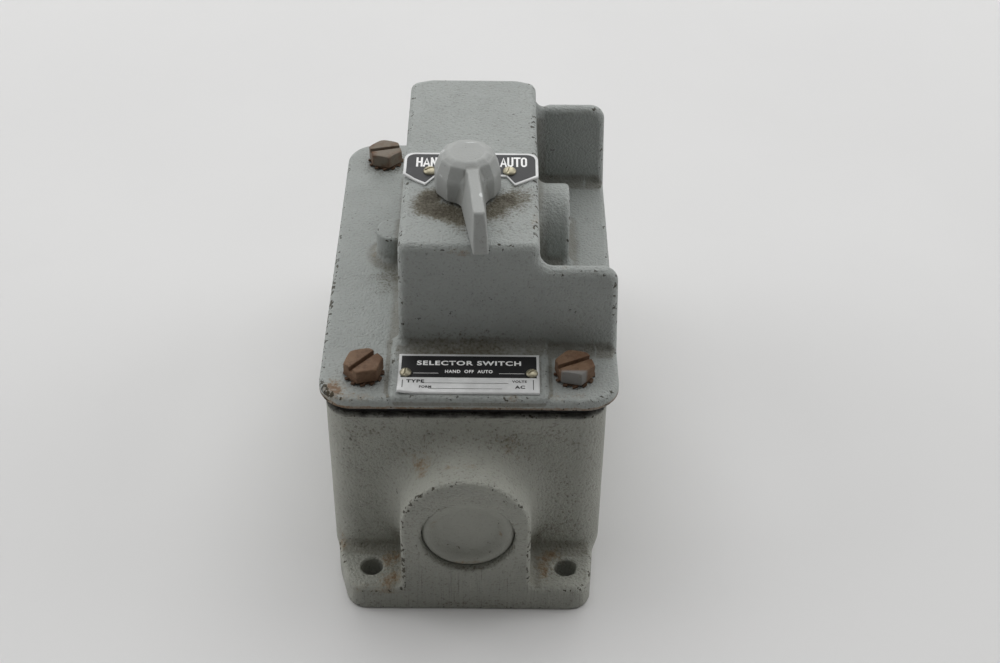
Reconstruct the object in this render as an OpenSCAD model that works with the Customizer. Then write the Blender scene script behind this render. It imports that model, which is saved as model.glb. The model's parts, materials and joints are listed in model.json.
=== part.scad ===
// Selector switch station for a motor starter: a cast base, a cast cover with a tall
// operator housing, a lever knob, and the cam and contact block that hang inside.
// It lies on its back. The origin is the middle of the flat underside,
// +X is to the right, +Y is away from the closed conduit hub, and +Z is up.

/* [Base casting] */
// Width of the base walls
base_w = 89.6; // [86:0.1:91]
// Length of the base walls
base_l = 143.8; // [140:0.1:145]
// Height of the base rim
base_h = 69.85; // [66:0.05:74]
// Thickness of the base walls
base_wall = 5.5; // [5:0.1:6.5]
// Thickness of the base floor
base_floor = 6.5; // [5:0.1:8]
// Corner radius of the base walls
base_corner_r = 9; // [8:0.5:11]
// Sideways shift of the base walls under the cover
base_shift = -0.8; // [-1:0.1:1]
// Width of the foot plate
foot_w = 80; // [78:0.5:82]
// Length over the feet
foot_l = 181.4; // [178:0.1:186]
// Height of the foot plate
foot_h = 9.5; // [8:0.1:11]
// Corner radius of the foot plate
foot_corner_r = 4.5; // [3:0.1:6]
// Distance between the foot holes across the base
foot_hole_dx = 64.2; // [62:0.1:66]
// Distance between the foot holes along the base
foot_hole_dy = 160.8; // [158:0.1:164]
// Radius of the foot holes
foot_hole_r = 3.6; // [3:0.05:3.8]

/* [Conduit hubs] */
// Half the width of a hub, and the radius of its arch
hub_r = 21; // [20:0.1:22]
// Height of the hub's arch centre
hub_arch_z = 37.8; // [36:0.1:39]
// Height of the conduit hole's axis
hub_bore_z = 33.9; // [33:0.1:35]
// Radius of the conduit hole
hub_bore_r = 15.1; // [14.5:0.05:15.5]
// Depth at which the closing plug sits in its hub
plug_recess = 1.6; // [1:0.1:3]

/* [Cover casting] */
// Width of the cover plate
cover_w = 95; // [94:0.5:96]
// Length of the cover plate
cover_l = 145.2; // [144:0.1:147]
// Thickness of the cover plate
cover_t = 4.15; // [4:0.05:5]
// Corner radius of the cover plate
cover_corner_r = 11; // [9:0.5:12]
// Thickness of the gasket between the castings
gasket_t = 3; // [2:0.1:3.5]
// Width of the operator housing
housing_w = 45; // [44:0.1:46]
// Length of the operator housing
housing_l = 101; // [100:0.1:102]
// Height of the flat top of the operator housing above the underside
housing_top = 118.1; // [116:0.1:121]
// Wall thickness of the operator housing
housing_wall = 4.5; // [4:0.1:5]
// Thickness of the guard walls beside the housing
guard_t = 5.6; // [5:0.1:6.5]
// Height of the guard walls above the underside
guard_top = 108.6; // [104:0.1:112]
// Distance between the cover bolts across the cover
bolt_dx = 66.6; // [66:0.1:67.5]
// Distance between the cover bolts along the cover
bolt_dy = 120.6; // [120:0.1:121.5]

/* [Operator] */
// Place of the operator shaft across the cover
shaft_x = -1; // [-1.5:0.1:0]
// Place of the operator shaft along the cover
shaft_y = -16.2; // [-17:0.1:-15.5]
// Radius of the operator shaft
shaft_r = 3.15; // [3:0.05:3.15]
// Height of the knob above the housing
knob_h = 14; // [13:0.1:15]
// Radius of the knob's hub
knob_r = 10.2; // [9.5:0.1:10.5]
// Length of the knob's lever from the shaft's axis
lever_l = 37.4; // [34:0.1:38]
// Angle by which the knob sits askew on its shaft
knob_askew = 6; // [0:0.5:8]
// Turn from OFF to HAND or to AUTO, in degrees
turn_angle = 45; // [30:1:45]
// Travel of each plunger from OFF to either end
plunger_travel = 2.5; // [2:0.1:2.5]

/* [Contact block] */
// Distance from the shaft's axis to each plunger
pole_x = 8; // [7.8:0.1:8.2]
// Width of the contact block
block_w = 32; // [31:0.5:33]
// Length of the contact block
block_l = 40; // [39:0.5:41]
// Height of the contact block's underside
block_bottom = 46; // [44:0.5:48]
// Height of the contact block's top
block_top = 80; // [79:0.5:81]

/* [Hidden] */
$fn = 48;

// Small amounts: the overlap that joins two solids, and a part's clearance in its hole
join = 0.4;
fit_gap = 0.05;

// Heights that follow from the stack of base, gasket and cover
plate_z = base_h + gasket_t;
plate_top = plate_z + cover_t;
ceiling_z = housing_top - 5;

// Inside of the base
cavity_w = base_w - 2*base_wall;
cavity_l = base_l - 2*base_wall;
bolt_boss_r = 7.5;
bolt_r = 3.15;
bolt_hole_r = 3.6;
bolt_len = 26;
ground_xy = [30, 30];

// Operator housing: its middle, and its hollow
housing_x = -0.3;
housing_y = 2.1;
housing_r = 3.5;
housing_front = housing_y - housing_l/2;
housing_back = housing_y + housing_l/2;
hollow_w = housing_w - 2*housing_wall;
hollow_l = housing_l - 2*housing_wall;
guard_right = 47;
guard_corner_r = 5;
bulge_r = 12.5;
bulge_y = 10.2;
bulge_z = 87;
bulge_end = 33.2;
boss_xy = [-26.7, 2.7];
boss_r = 6.3;
boss_h = 11;
pad_w = 49.6;
pad_h = 1.1;

// Cover bolts: across flats 7/16 in, each left at the angle it was tightened to
hex_flats = 11.1;
head_h = 4.8;
washer_t = 1;
bolt_turn = [[-33.3, -60.3, 14, 49], [33.3, -60.3, -12, 26],
             [-33.3, 60.3, -15, 14], [33.3, 60.3, 5, 65]];

// Operator stack, measured up and down from the housing's top wall
bush_r = 6.3;
flange_r = 9;
flange_t = 2;
flange_z = ceiling_z - flange_t;
thrust_t = 0.8;
thrust_z = flange_z - fit_gap - thrust_t;
clip_t = 0.9;
clip_z = thrust_z - fit_gap - clip_t;
shaft_top = housing_top + 11;
shaft_bottom = 82;
knob_z = 0.9;

// Cam: the two helical ramps under it rise or fall by cam_rise for each radian
cam_rise = plunger_travel/(turn_angle*PI/180);
cam_mid_z = 87;
cam_top_z = 95;
cam_inner_r = 4.6;
cam_outer_r = 12;
ramp_half = 65;
ramp_steps = 72;
detent_r = 9.5;
detent_z = cam_top_z + 0.6;
detent_t = 2.8;
leaf_y = shaft_y - 13;

// Contact block, plungers and contacts, from the cam's middle height down
dome_gap = 0.45;
plunger_r = 2.4;
plunger_top = cam_mid_z - dome_gap;
collar_r = 3.4;
collar_top = 70;
bar_z = 65;
bar_t = 1.2;
bar_w = 6;
bar_l = 28;
tip_r = 2.2;
tip_t = 0.8;
tip_y = 12;
strip_w = 7;
strip_t = 1.2;
strip_top = bar_z - tip_t - plunger_travel - 0.1 - tip_t;
strip_end = 31;
ledge_w = 9;
terminal_y = 25.8;
ear_y = 23.5;
wall_t = 2.2;
cover_plate_t = 2;
spring_r = 3;
spring_wire = 0.3;
spring_turns = 7;

// ---- shapes used by several parts ----

// A flat rectangle with true round corners
module rounded_rect(w, l, r) {
    square([w - 2*r, l], center = true);
    square([w, l - 2*r], center = true);
    for (x = [-1, 1], y = [-1, 1]) translate([x*(w/2 - r), y*(l/2 - r)]) circle(r);
}

module slab(w, l, r, h) {
    linear_extrude(h) rounded_rect(w, l, r);
}

// Children repeated at the four corners of a rectangle
module at_corners(dx, dy) {
    for (x = [-dx/2, dx/2], y = [-dy/2, dy/2]) translate([x, y, 0]) children();
}

// Children repeated at the two poles, left and right of the shaft
module at_poles() {
    for (side = [-1, 1]) translate([shaft_x + side*pole_x, shaft_y, 0]) children();
}

// A round bar along Y from y0 to y1
module bar_y(r, y0, y1) {
    translate([0, y0, 0]) rotate([-90, 0, 0]) cylinder(r = r, h = y1 - y0);
}

// A round-headed slotted screw that stands on z = 0 and points down
module round_screw(head_r, head_height, shank_r, shank_l, turn = 0) {
    slot_w = head_r*0.3;
    difference() {
        union() {
            rotate_extrude() intersection() {
                translate([0, -head_height*0.35]) circle(head_height*1.35);
                square([head_r, head_height]);
            }
            translate([0, 0, -shank_l]) cylinder(r = shank_r, h = shank_l + head_height*0.3);
        }
        rotate(turn) translate([-head_r*2, -slot_w/2, head_height*0.55])
            cube([head_r*4, slot_w, head_height]);
    }
}

// ---- enclosure ----

// Outline of the base rim's inner edge, pinched in around the cover bolts
module rim_opening() {
    difference() {
        translate([base_shift, 0]) rounded_rect(cavity_w, cavity_l, base_corner_r - base_wall);
        at_corners(bolt_dx, bolt_dy) circle(bolt_boss_r);
    }
}

// One conduit hub on the front wall: an arch over straight sides down to the foot
module hub_body() {
    translate([base_shift, -foot_l/2, 0]) rotate([90, 0, 0]) mirror([0, 0, 1])
        linear_extrude(foot_l/2 - cavity_l/2 - 1) {
            translate([-hub_r, 0]) square([2*hub_r, hub_arch_z]);
            translate([0, hub_arch_z]) circle(hub_r);
        }
}

module base() color([0.55, 0.6, 0.57]) difference() {
    union() {
        translate([base_shift, 0, foot_h - join])
            slab(base_w, base_l, base_corner_r, base_h - foot_h + join);
        slab(foot_w, foot_l, foot_corner_r, foot_h);
        for (side = [0, 1]) mirror([0, side, 0]) hub_body();
    }
    difference() {
        translate([0, 0, base_floor]) linear_extrude(base_h) rim_opening();
        translate([ground_xy.x, ground_xy.y, 0]) cylinder(r = 5.5, h = base_floor + 5);
    }
    translate([0, 0, hub_bore_z]) bar_y(hub_bore_r, -foot_l, foot_l);
    at_corners(foot_hole_dx, foot_hole_dy) translate([0, 0, -1])
        cylinder(r = foot_hole_r, h = foot_h + 2);
    at_corners(bolt_dx, bolt_dy) translate([0, 0, base_h - bolt_len])
        cylinder(r = bolt_r + fit_gap, h = bolt_len + 1);
    translate([ground_xy.x, ground_xy.y, base_floor - 3]) cylinder(r = 2.45, h = 20);
}

// Drawn closing disc with a rolled edge and a shallow dish in its middle
module hub_plug() color([0.58, 0.62, 0.6])
    translate([0, plug_recess - foot_l/2, hub_bore_z]) rotate([-90, 0, 0])
        rotate_extrude(angle = 360) difference() {
            union() {
                square([hub_bore_r - fit_gap, 2.4]);
                translate([hub_bore_r - 2.2, -0.5]) square([2, 1.5]);
                translate([hub_bore_r - 3, 0]) square([3 - fit_gap, 9]);
            }
            translate([0, -18.6]) circle(19, $fn = 96);
            translate([0, 1.9]) square([hub_bore_r - 3.01, 9]);
        }

module cover_gasket() color([0.12, 0.12, 0.12])
    translate([0, 0, base_h]) linear_extrude(gasket_t) difference() {
        translate([base_shift, 0]) rounded_rect(base_w - 4, base_l - 4, base_corner_r - 2);
        rim_opening();
        at_corners(bolt_dx, bolt_dy) circle(bolt_hole_r);
    }

// A guard wall seen from the front, with its upper outer corner rounded
module guard_wall(y0) {
    translate([0, y0 + guard_t, 0]) rotate([90, 0, 0]) linear_extrude(guard_t) {
        translate([0, plate_z + 1]) square([guard_right, guard_top - guard_corner_r - plate_z - 1]);
        translate([0, plate_z + 1]) square([guard_right - guard_corner_r, guard_top - plate_z - 1]);
        translate([guard_right - guard_corner_r, guard_top - guard_corner_r])
            circle(guard_corner_r);
    }
}

// Half-round bulge on the housing's right side, between the guard walls
module housing_bulge() {
    translate([0, bulge_y, 0]) rotate([90, 0, 90]) linear_extrude(bulge_end) {
        translate([-bulge_r, plate_z + 1]) square([2*bulge_r, bulge_z - plate_z - 1]);
        translate([0, bulge_z]) circle(bulge_r);
    }
}

module cover() color([0.57, 0.61, 0.59]) difference() {
    union() {
        translate([0, 0, plate_z]) slab(cover_w, cover_l, cover_corner_r, cover_t);
        translate([-pad_w/2, -cover_l/2, plate_z])
            cube([pad_w, cover_l/2 + housing_front + 1, cover_t + pad_h]);
        difference() {
            union() {
                translate([housing_x, housing_y, plate_z])
                    slab(housing_w, housing_l, housing_r, housing_top - plate_z);
                guard_wall(housing_front);
                guard_wall(housing_back - guard_t);
                housing_bulge();
                translate([boss_xy.x, boss_xy.y, plate_z]) {
                    cylinder(r = boss_r, h = cover_t + boss_h);
                    translate([0, -boss_r, 0]) cube([6, 2*boss_r, cover_t + boss_h]);
                }
            }
            difference() {
                union() {
                    translate([housing_x, housing_y, plate_z - 1])
                        slab(hollow_w, hollow_l, 2, ceiling_z - plate_z + 1);
                    translate([10, bulge_y, bulge_z]) rotate([0, 90, 0])
                        cylinder(r = 8.5, h = bulge_end - 14.5);
                }
                for (side = [-1, 1]) translate([shaft_x, shaft_y + side*ear_y, block_top])
                    cylinder(r = 4.2, h = housing_top - block_top - 1);
                translate([shaft_x - 17, leaf_y - 5, detent_z - 4])
                    cube([5.5, 5, housing_top - detent_z]);
            }
        }
    }
    translate([housing_x, housing_y, plate_z - 1]) slab(hollow_w, hollow_l, 2, cover_t + 1);
    at_corners(bolt_dx, bolt_dy) translate([0, 0, plate_z - 1])
        cylinder(r = bolt_hole_r, h = cover_t + 2);
    translate([shaft_x, shaft_y, ceiling_z - 1]) cylinder(r = bush_r + fit_gap, h = 10);
    for (side = [-1, 1]) translate([shaft_x, shaft_y + side*ear_y, block_top - 1])
        cylinder(r = 1.95, h = 16);
    for (p = legend_screw_xy) translate([p.x, p.y, housing_top - 4]) cylinder(r = 1.25, h = 10);
    for (p = name_screw_xy) translate([p.x, p.y, plate_z]) cylinder(r = 1.15, h = 10);
    translate([shaft_x - 14.3, leaf_y + 1, detent_z + 2.7]) bar_y(1.25, -5.5, 0);
}

// Slotted hexagon bolts with chamfered heads
module cover_bolts() color([0.42, 0.33, 0.27]) for (b = bolt_turn) {
    translate([b[0], b[1], plate_top + washer_t]) difference() {
        union() {
            intersection() {
                rotate(b[2] + 60) cylinder(r = hex_flats/sqrt(3), h = head_h, $fn = 6);
                cylinder(r1 = hex_flats/sqrt(3) + head_h*1.7, r2 = hex_flats/2 - 0.3, h = head_h);
            }
            translate([0, 0, washer_t - bolt_len]) cylinder(r = bolt_r, h = bolt_len);
        }
        rotate(b[3]) translate([-10, -0.8, head_h - 1.7]) cube([20, 1.6, 4]);
    }
}

// Star washers with outside teeth
module lock_washers() color([0.4, 0.35, 0.3]) at_corners(bolt_dx, bolt_dy)
    translate([0, 0, plate_top]) linear_extrude(washer_t) difference() {
        union() {
            circle(5.9);
            for (a = [0:30:330]) rotate(a) translate([5.5, -0.8]) square([1.7, 1.6]);
        }
        circle(bolt_hole_r);
    }

// ---- operator ----

module selector_knob() color([0.66, 0.68, 0.68])
    translate([shaft_x, shaft_y, housing_top]) rotate(knob_askew) difference() {
        union() {
            rotate_extrude() polygon([[0, knob_z], [knob_r - 0.6, knob_z], [knob_r, 8.5],
                [knob_r - 0.7, 10.6], [knob_r - 2.7, 12.8], [knob_r - 5, knob_h], [0, knob_h]]);
            hull() {
                translate([-3.7, -9, knob_z]) cube([7.4, 1, 1]);
                translate([-3.2, -9, knob_h - 1.6]) cube([6.4, 1, 1]);
                translate([-2.3, -lever_l, knob_z]) cube([4.6, 1, 1]);
                translate([-1.6, -lever_l + 6.2, knob_h - 2.4]) cube([3.2, 1, 1]);
            }
        }
        translate([0, 0, -1]) cylinder(r = 6.8, h = 4.5);
        translate([0, 0, -1]) cylinder(r = shaft_r + fit_gap, h = 12.5);
        translate([0, 0, 6.5]) bar_y(2.05, 0, 20);
    }

// Headless screw in the back of the knob's hub that grips the shaft
module knob_set_screw() color([0.3, 0.3, 0.31])
    translate([shaft_x, shaft_y, housing_top + 6.5]) rotate(knob_askew) difference() {
        bar_y(2, shaft_r + fit_gap, knob_r - 1);
        translate([-3, knob_r - 2, -0.35]) cube([6, 4, 0.7]);
    }

module selector_shaft() color([0.6, 0.6, 0.6]) translate([shaft_x, shaft_y, 0]) difference() {
    translate([0, 0, shaft_bottom]) cylinder(r = shaft_r, h = shaft_top - shaft_bottom);
    translate([0, 0, clip_z - fit_gap]) difference() {
        cylinder(r = shaft_r + 1, h = clip_t + 2*fit_gap);
        translate([0, 0, -1]) cylinder(r = shaft_r - 0.7, h = clip_t + 3);
    }
    translate([0, 0, cam_top_z - 2]) bar_y(1.05, -5, 5);
}

module shaft_bushing() color([0.72, 0.58, 0.32]) translate([shaft_x, shaft_y, 0]) difference() {
    union() {
        translate([0, 0, flange_z]) cylinder(r = flange_r, h = flange_t);
        translate([0, 0, flange_z]) cylinder(r = bush_r, h = housing_top - flange_z);
    }
    translate([0, 0, flange_z - 1]) cylinder(r = shaft_r + fit_gap, h = 20);
}

module shaft_seal() color([0.1, 0.1, 0.1]) translate([shaft_x, shaft_y, housing_top])
    difference() {
        cylinder(r = 6.3, h = 2.6);
        translate([0, 0, -1]) cylinder(r = shaft_r + 0.35, h = 5);
    }

module thrust_washer() color([0.75, 0.62, 0.35]) translate([shaft_x, shaft_y, thrust_z])
    difference() {
        cylinder(r = 7, h = thrust_t);
        translate([0, 0, -1]) cylinder(r = shaft_r + fit_gap, h = 3);
    }

// E-shaped clip in the shaft's groove
module retaining_clip() color([0.25, 0.25, 0.27]) translate([shaft_x, shaft_y, clip_z])
    linear_extrude(clip_t) difference() {
        circle(5.6);
        circle(shaft_r - 0.65);
        translate([-1.7, -10]) square([3.4, 10]);
    }

// Angle that the underside has fallen by: it runs up and down between the two poles
function wave(a) = abs(a) <= 90 ? max(-ramp_half, min(ramp_half, a))
                                : max(-ramp_half, min(ramp_half, sign(a)*(180 - abs(a))));
// Height of the cam's underside at an angle about the shaft
function cam_z(a) = cam_mid_z - cam_rise*PI/180*wave(a);

// Ring with the helical ramps below and a flat top
module cam_ring() {
    angles = [for (i = [0:ramp_steps - 1]) -180 + i*360/ramp_steps];
    rows = [for (a = angles) for (p = [[cam_inner_r, cam_z(a)], [cam_outer_r, cam_z(a)],
                                       [cam_outer_r, cam_top_z], [cam_inner_r, cam_top_z]])
            [p[0]*cos(a), p[0]*sin(a), p[1]]];
    faces = [for (i = [0:ramp_steps - 1], k = [0:3])
             let (j = (i + 1) % ramp_steps, m = (k + 1) % 4)
             each [[4*i + k, 4*i + m, 4*j + m], [4*i + k, 4*j + m, 4*j + k]]];
    polyhedron(rows, faces);
}

module operating_cam() color([0.85, 0.83, 0.76]) translate([shaft_x, shaft_y, 0]) difference() {
    union() {
        cam_ring();
        translate([0, 0, cam_top_z - 4.5]) cylinder(r = cam_inner_r + 0.5, h = 4.5);
    }
    translate([0, 0, cam_top_z - 6]) cylinder(r = shaft_r + fit_gap, h = 12);
    translate([0, 0, cam_top_z - 2]) bar_y(1.05, -20, 20);
}

module cam_pin() color([0.4, 0.4, 0.42]) translate([shaft_x, shaft_y, cam_top_z - 2])
    bar_y(1, -6, 6);

// Three-notch wheel that holds the knob at HAND, OFF and AUTO
module detent_wheel() color([0.62, 0.63, 0.65]) translate([shaft_x, shaft_y, detent_z])
    difference() {
        cylinder(r = detent_r, h = detent_t);
        translate([0, 0, -1]) cylinder(r = shaft_r + fit_gap, h = 5);
        for (a = [-turn_angle, 0, turn_angle]) rotate(a) translate([0, -detent_r - 0.8, -1])
            cylinder(r = 2, h = 5);
    }

// Leaf with a round nose that presses on the wheel from the front
module detent_spring() color([0.7, 0.7, 0.72]) translate([shaft_x, leaf_y, detent_z - 0.2])
    difference() {
        union() {
            translate([-17, 0, 0]) cube([26, 0.5, 5.8]);
            translate([0, 1.6, 0]) cylinder(r = 1.4, h = detent_t + 0.4);
        }
        translate([-14.3, 1, 2.9]) bar_y(1.5, -3, 3);
    }

module detent_screw() color([0.7, 0.68, 0.6])
    translate([shaft_x - 14.3, leaf_y + 0.5, detent_z + 2.7]) {
        bar_y(2.4, 0, 1.6);
        bar_y(1.2, -4.6, 1);
    }

// ---- plates on the cover ----

legend_screw_xy = [[-13.5, -8], [12.3, -7.8]];
name_screw_xy = [[-20, -61.9], [19.8, -61.9]];
legend_t = 0.6;
nameplate_t = 0.8;

module legend_plate() color([0.13, 0.13, 0.14]) translate([0, 0, housing_top])
    linear_extrude(legend_t) difference() {
        union() {
            polygon([[-22.2, -10.4], [-14.9, -15.5], [-11.6, -10.6], [11.4, -10.6],
                     [14.1, -15.5], [21.7, -10.4], [21.7, -0.5], [-22.2, -0.5]]);
            translate([-18.7, -3]) square([36.9, 6]);
            for (x = [-18.7, 18.2]) translate([x, -0.5]) circle(3.5);
        }
        translate([shaft_x, shaft_y]) circle(6.6);
        for (p = legend_screw_xy) translate(p) circle(1.4);
    }

module legend_screws() color([0.66, 0.6, 0.45]) for (p = legend_screw_xy)
    translate([p.x, p.y, housing_top + legend_t]) round_screw(2.2, 1.5, 1.2, 4, 30);

module nameplate() color([0.72, 0.72, 0.7])
    translate([0, 0, plate_top + pad_h]) linear_extrude(nameplate_t) difference() {
        translate([-0.1, -61.9]) square([44.6, 18.2], center = true);
        for (p = name_screw_xy) translate(p) circle(1.25);
    }

module nameplate_screws() color([0.68, 0.6, 0.42]) for (p = name_screw_xy)
    translate([p.x, p.y, plate_top + pad_h + nameplate_t]) round_screw(1.9, 1.3, 1.1, 4.5, 80);

// ---- contact block ----

// Moulded housing with two chambers, open below, and a ledge for each terminal
module contact_block() color([0.16, 0.13, 0.11]) difference() {
    union() {
        translate([shaft_x, shaft_y, (block_bottom + block_top)/2])
            cube([block_w, block_l, block_top - block_bottom], center = true);
        translate([shaft_x - 6, shaft_y - ear_y - 3.8, block_top - 4])
            cube([12, 2*ear_y + 7.6, 4]);
        at_poles() translate([-ledge_w/2, -strip_end, block_bottom + 4])
            cube([ledge_w, 2*strip_end, strip_top - strip_t - block_bottom - 4]);
    }
    at_poles() {
        translate([-pole_x + wall_t, wall_t - block_l/2, block_bottom - 1])
            cube([block_w/2 - 2*wall_t, block_l - 2*wall_t, block_top - 4 - block_bottom + 1]);
        translate([0, 0, block_bottom]) cylinder(r = plunger_r + fit_gap, h = 60);
        translate([-strip_w/2 - 0.1, -strip_end - 1, strip_top - strip_t])
            cube([strip_w + 0.2, 2*strip_end + 2, strip_t + 1.6]);
        for (side = [-1, 1]) translate([0, side*terminal_y, 0])
            cylinder(r = 1.7, h = strip_top);
    }
    for (side = [-1, 1]) {
        translate([shaft_x, shaft_y + side*ear_y, block_top - 5]) cylinder(r = 2.1, h = 7);
        translate([shaft_x, shaft_y + side*14, block_bottom - 1]) cylinder(r = 1.1, h = 9);
    }
}

module block_screws() color([0.55, 0.55, 0.56]) for (side = [-1, 1])
    translate([shaft_x, shaft_y + side*ear_y, block_top - 4]) {
        translate([0, 0, -2.4]) cylinder(r = 3.2, h = 2.4);
        translate([0, 0, -1]) cylinder(r = 1.9, h = 16);
    }

module block_cover() color([0.2, 0.17, 0.14])
    translate([shaft_x, shaft_y, block_bottom - cover_plate_t]) difference() {
        translate([-block_w/2, -block_l/2, 0]) cube([block_w, block_l, cover_plate_t]);
        for (side = [-1, 1]) translate([0, side*14, -1]) cylinder(r = 1.3, h = 5);
    }

module block_cover_screws() color([0.6, 0.6, 0.6]) for (side = [-1, 1])
    translate([shaft_x, shaft_y + side*14, block_bottom - cover_plate_t]) {
        translate([0, 0, -1.4]) cylinder(r = 2.2, h = 1.4);
        translate([0, 0, -0.5]) cylinder(r = 1.05, h = 8);
    }

// Domed rod with a collar that carries the contact bridge
module plunger() {
    translate([0, 0, collar_top - 1]) cylinder(r = plunger_r, h = plunger_top - plunger_r - collar_top + 1);
    translate([0, 0, plunger_top - plunger_r]) sphere(plunger_r);
    translate([0, 0, bar_z + bar_t]) cylinder(r = collar_r, h = collar_top - bar_z - bar_t);
    translate([0, 0, bar_z - 7]) cylinder(r = 1.6, h = 8.5);
}

module left_plunger() color([0.85, 0.82, 0.72])
    translate([shaft_x - pole_x, shaft_y, 0]) plunger();

module right_plunger() color([0.85, 0.82, 0.72])
    translate([shaft_x + pole_x, shaft_y, 0]) plunger();

// Moving bar with a contact tip under each end
module bridge() difference() {
    union() {
        translate([-bar_w/2, -bar_l/2, bar_z]) cube([bar_w, bar_l, bar_t]);
        for (side = [-1, 1]) translate([0, side*tip_y, bar_z - tip_t])
            cylinder(r = tip_r, h = tip_t + join);
    }
    translate([0, 0, bar_z - 1]) cylinder(r = 1.65, h = 4);
}

module left_bridge() color([0.78, 0.5, 0.32])
    translate([shaft_x - pole_x, shaft_y, 0]) bridge();

module right_bridge() color([0.78, 0.5, 0.32])
    translate([shaft_x + pole_x, shaft_y, 0]) bridge();

// Coil spring between the block's cover and the bridge: a round wire swept up a helix
module coil_spring() {
    steps = spring_turns*14;
    sides = 6;
    low = block_bottom + 0.35;
    high = bar_z - 0.35;
    points = [for (i = [0:steps], k = [0:sides - 1])
        let (t = i/steps, a = 360*spring_turns*t, b = 360*k/sides,
             r = spring_r + spring_wire*cos(b))
        [r*cos(a), r*sin(a), low + (high - low)*t + spring_wire*sin(b)]];
    walls = [for (i = [0:steps - 1], k = [0:sides - 1]) let (m = (k + 1) % sides)
        [i*sides + k, i*sides + m, (i + 1)*sides + m, (i + 1)*sides + k]];
    first = [for (k = [0:sides - 1]) sides - 1 - k];
    last = [for (k = [0:sides - 1]) steps*sides + k];
    polyhedron(points, concat(walls, [first], [last]));
}

module left_spring() color([0.7, 0.7, 0.72])
    translate([shaft_x - pole_x, shaft_y, 0]) coil_spring();

module right_spring() color([0.7, 0.7, 0.72])
    translate([shaft_x + pole_x, shaft_y, 0]) coil_spring();

// Four fixed strips, each with a tip inside the block and a screw hole outside
module stationary_contacts() color([0.8, 0.62, 0.3]) at_poles() for (side = [0, 1])
    mirror([0, side, 0]) difference() {
        union() {
            translate([-strip_w/2, 9, strip_top - strip_t]) cube([strip_w, strip_end - 9, strip_t]);
            translate([0, tip_y, strip_top - join]) cylinder(r = tip_r, h = tip_t + join);
        }
        translate([0, terminal_y, strip_top - 3]) cylinder(r = 1.9, h = 6);
    }

// Square saddle under each terminal screw
module wire_clamps() color([0.75, 0.7, 0.55]) at_poles() for (side = [-1, 1])
    translate([0, side*terminal_y, strip_top]) difference() {
        translate([-3.3, -3.6, 0]) cube([6.6, 7.2, 1]);
        translate([0, 0, -1]) cylinder(r = 1.9, h = 3);
    }

module terminal_screws() color([0.75, 0.72, 0.62]) at_poles() for (side = [-1, 1])
    translate([0, side*terminal_y, strip_top + 1]) round_screw(3, 2.2, 1.65, 7, 20);

// Green bonding screw on its boss in the base
module ground_screw() color([0.15, 0.42, 0.22])
    translate([ground_xy.x, ground_xy.y, base_floor + 5]) round_screw(4.4, 3, 2.4, 7, 10);

base();
hub_plug();
cover_gasket();
cover();
cover_bolts();
lock_washers();
selector_knob();
knob_set_screw();
selector_shaft();
shaft_bushing();
shaft_seal();
thrust_washer();
retaining_clip();
operating_cam();
cam_pin();
detent_wheel();
detent_spring();
detent_screw();
legend_plate();
legend_screws();
nameplate();
nameplate_screws();
contact_block();
block_screws();
block_cover();
block_cover_screws();
left_plunger();
right_plunger();
left_bridge();
right_bridge();
left_spring();
right_spring();
stationary_contacts();
wire_clamps();
terminal_screws();
ground_screw();
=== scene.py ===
"""Looks of the selector switch station: cast base and cover, lever knob, plates and screws.

Laid out as an add-on and run as a script. Sizes in the functions are millimetres in the
frame of the CAD parts, and meshes are written in metres.
"""
import json
import math

import bpy
import numpy as np
from bpy.props import FloatProperty, FloatVectorProperty, PointerProperty, StringProperty
from mathutils import Matrix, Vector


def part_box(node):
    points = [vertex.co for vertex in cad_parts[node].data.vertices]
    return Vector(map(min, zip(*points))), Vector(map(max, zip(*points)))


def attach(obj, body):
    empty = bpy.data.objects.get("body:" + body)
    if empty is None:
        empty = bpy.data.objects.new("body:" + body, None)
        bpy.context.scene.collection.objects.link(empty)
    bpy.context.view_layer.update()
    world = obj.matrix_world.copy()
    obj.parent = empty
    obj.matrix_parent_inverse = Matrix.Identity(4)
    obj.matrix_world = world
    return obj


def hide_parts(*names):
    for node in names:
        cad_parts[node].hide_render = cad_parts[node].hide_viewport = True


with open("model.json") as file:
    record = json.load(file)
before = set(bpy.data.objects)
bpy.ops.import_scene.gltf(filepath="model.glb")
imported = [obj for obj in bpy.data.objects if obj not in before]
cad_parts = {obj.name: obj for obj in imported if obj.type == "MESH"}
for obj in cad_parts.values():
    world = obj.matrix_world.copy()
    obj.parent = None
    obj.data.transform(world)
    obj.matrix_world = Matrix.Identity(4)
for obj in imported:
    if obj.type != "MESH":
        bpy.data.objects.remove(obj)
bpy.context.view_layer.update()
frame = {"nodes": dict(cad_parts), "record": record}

bl_info = {
    "name": "Selector switch station",
    "version": (1, 0, 0),
    "blender": (4, 5, 0),
    "location": "View3D > Sidebar > Switch Station",
    "description": "Builds the castings, knob, plates, screws and finishes of a switch station",
    "category": "Object",
}

MM = 0.001


def node_box(node):
    """Lowest and highest corner of a CAD node in millimetres."""
    low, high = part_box(node)
    return np.array(low) / MM, np.array(high) / MM


# Places shared with the CAD parts, in millimetres
BASE_LOW, BASE_HIGH = node_box("base")
COVER_LOW, COVER_HIGH = node_box("cover")
LEGEND_LOW, LEGEND_HIGH = node_box("legend_plate")
NAME_LOW, NAME_HIGH = node_box("nameplate")
WASHER_LOW, WASHER_HIGH = node_box("lock_washers")
SHAFT_LOW, SHAFT_HIGH = node_box("selector_shaft")
KNOB_LOW, KNOB_HIGH = node_box("selector_knob")

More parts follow.
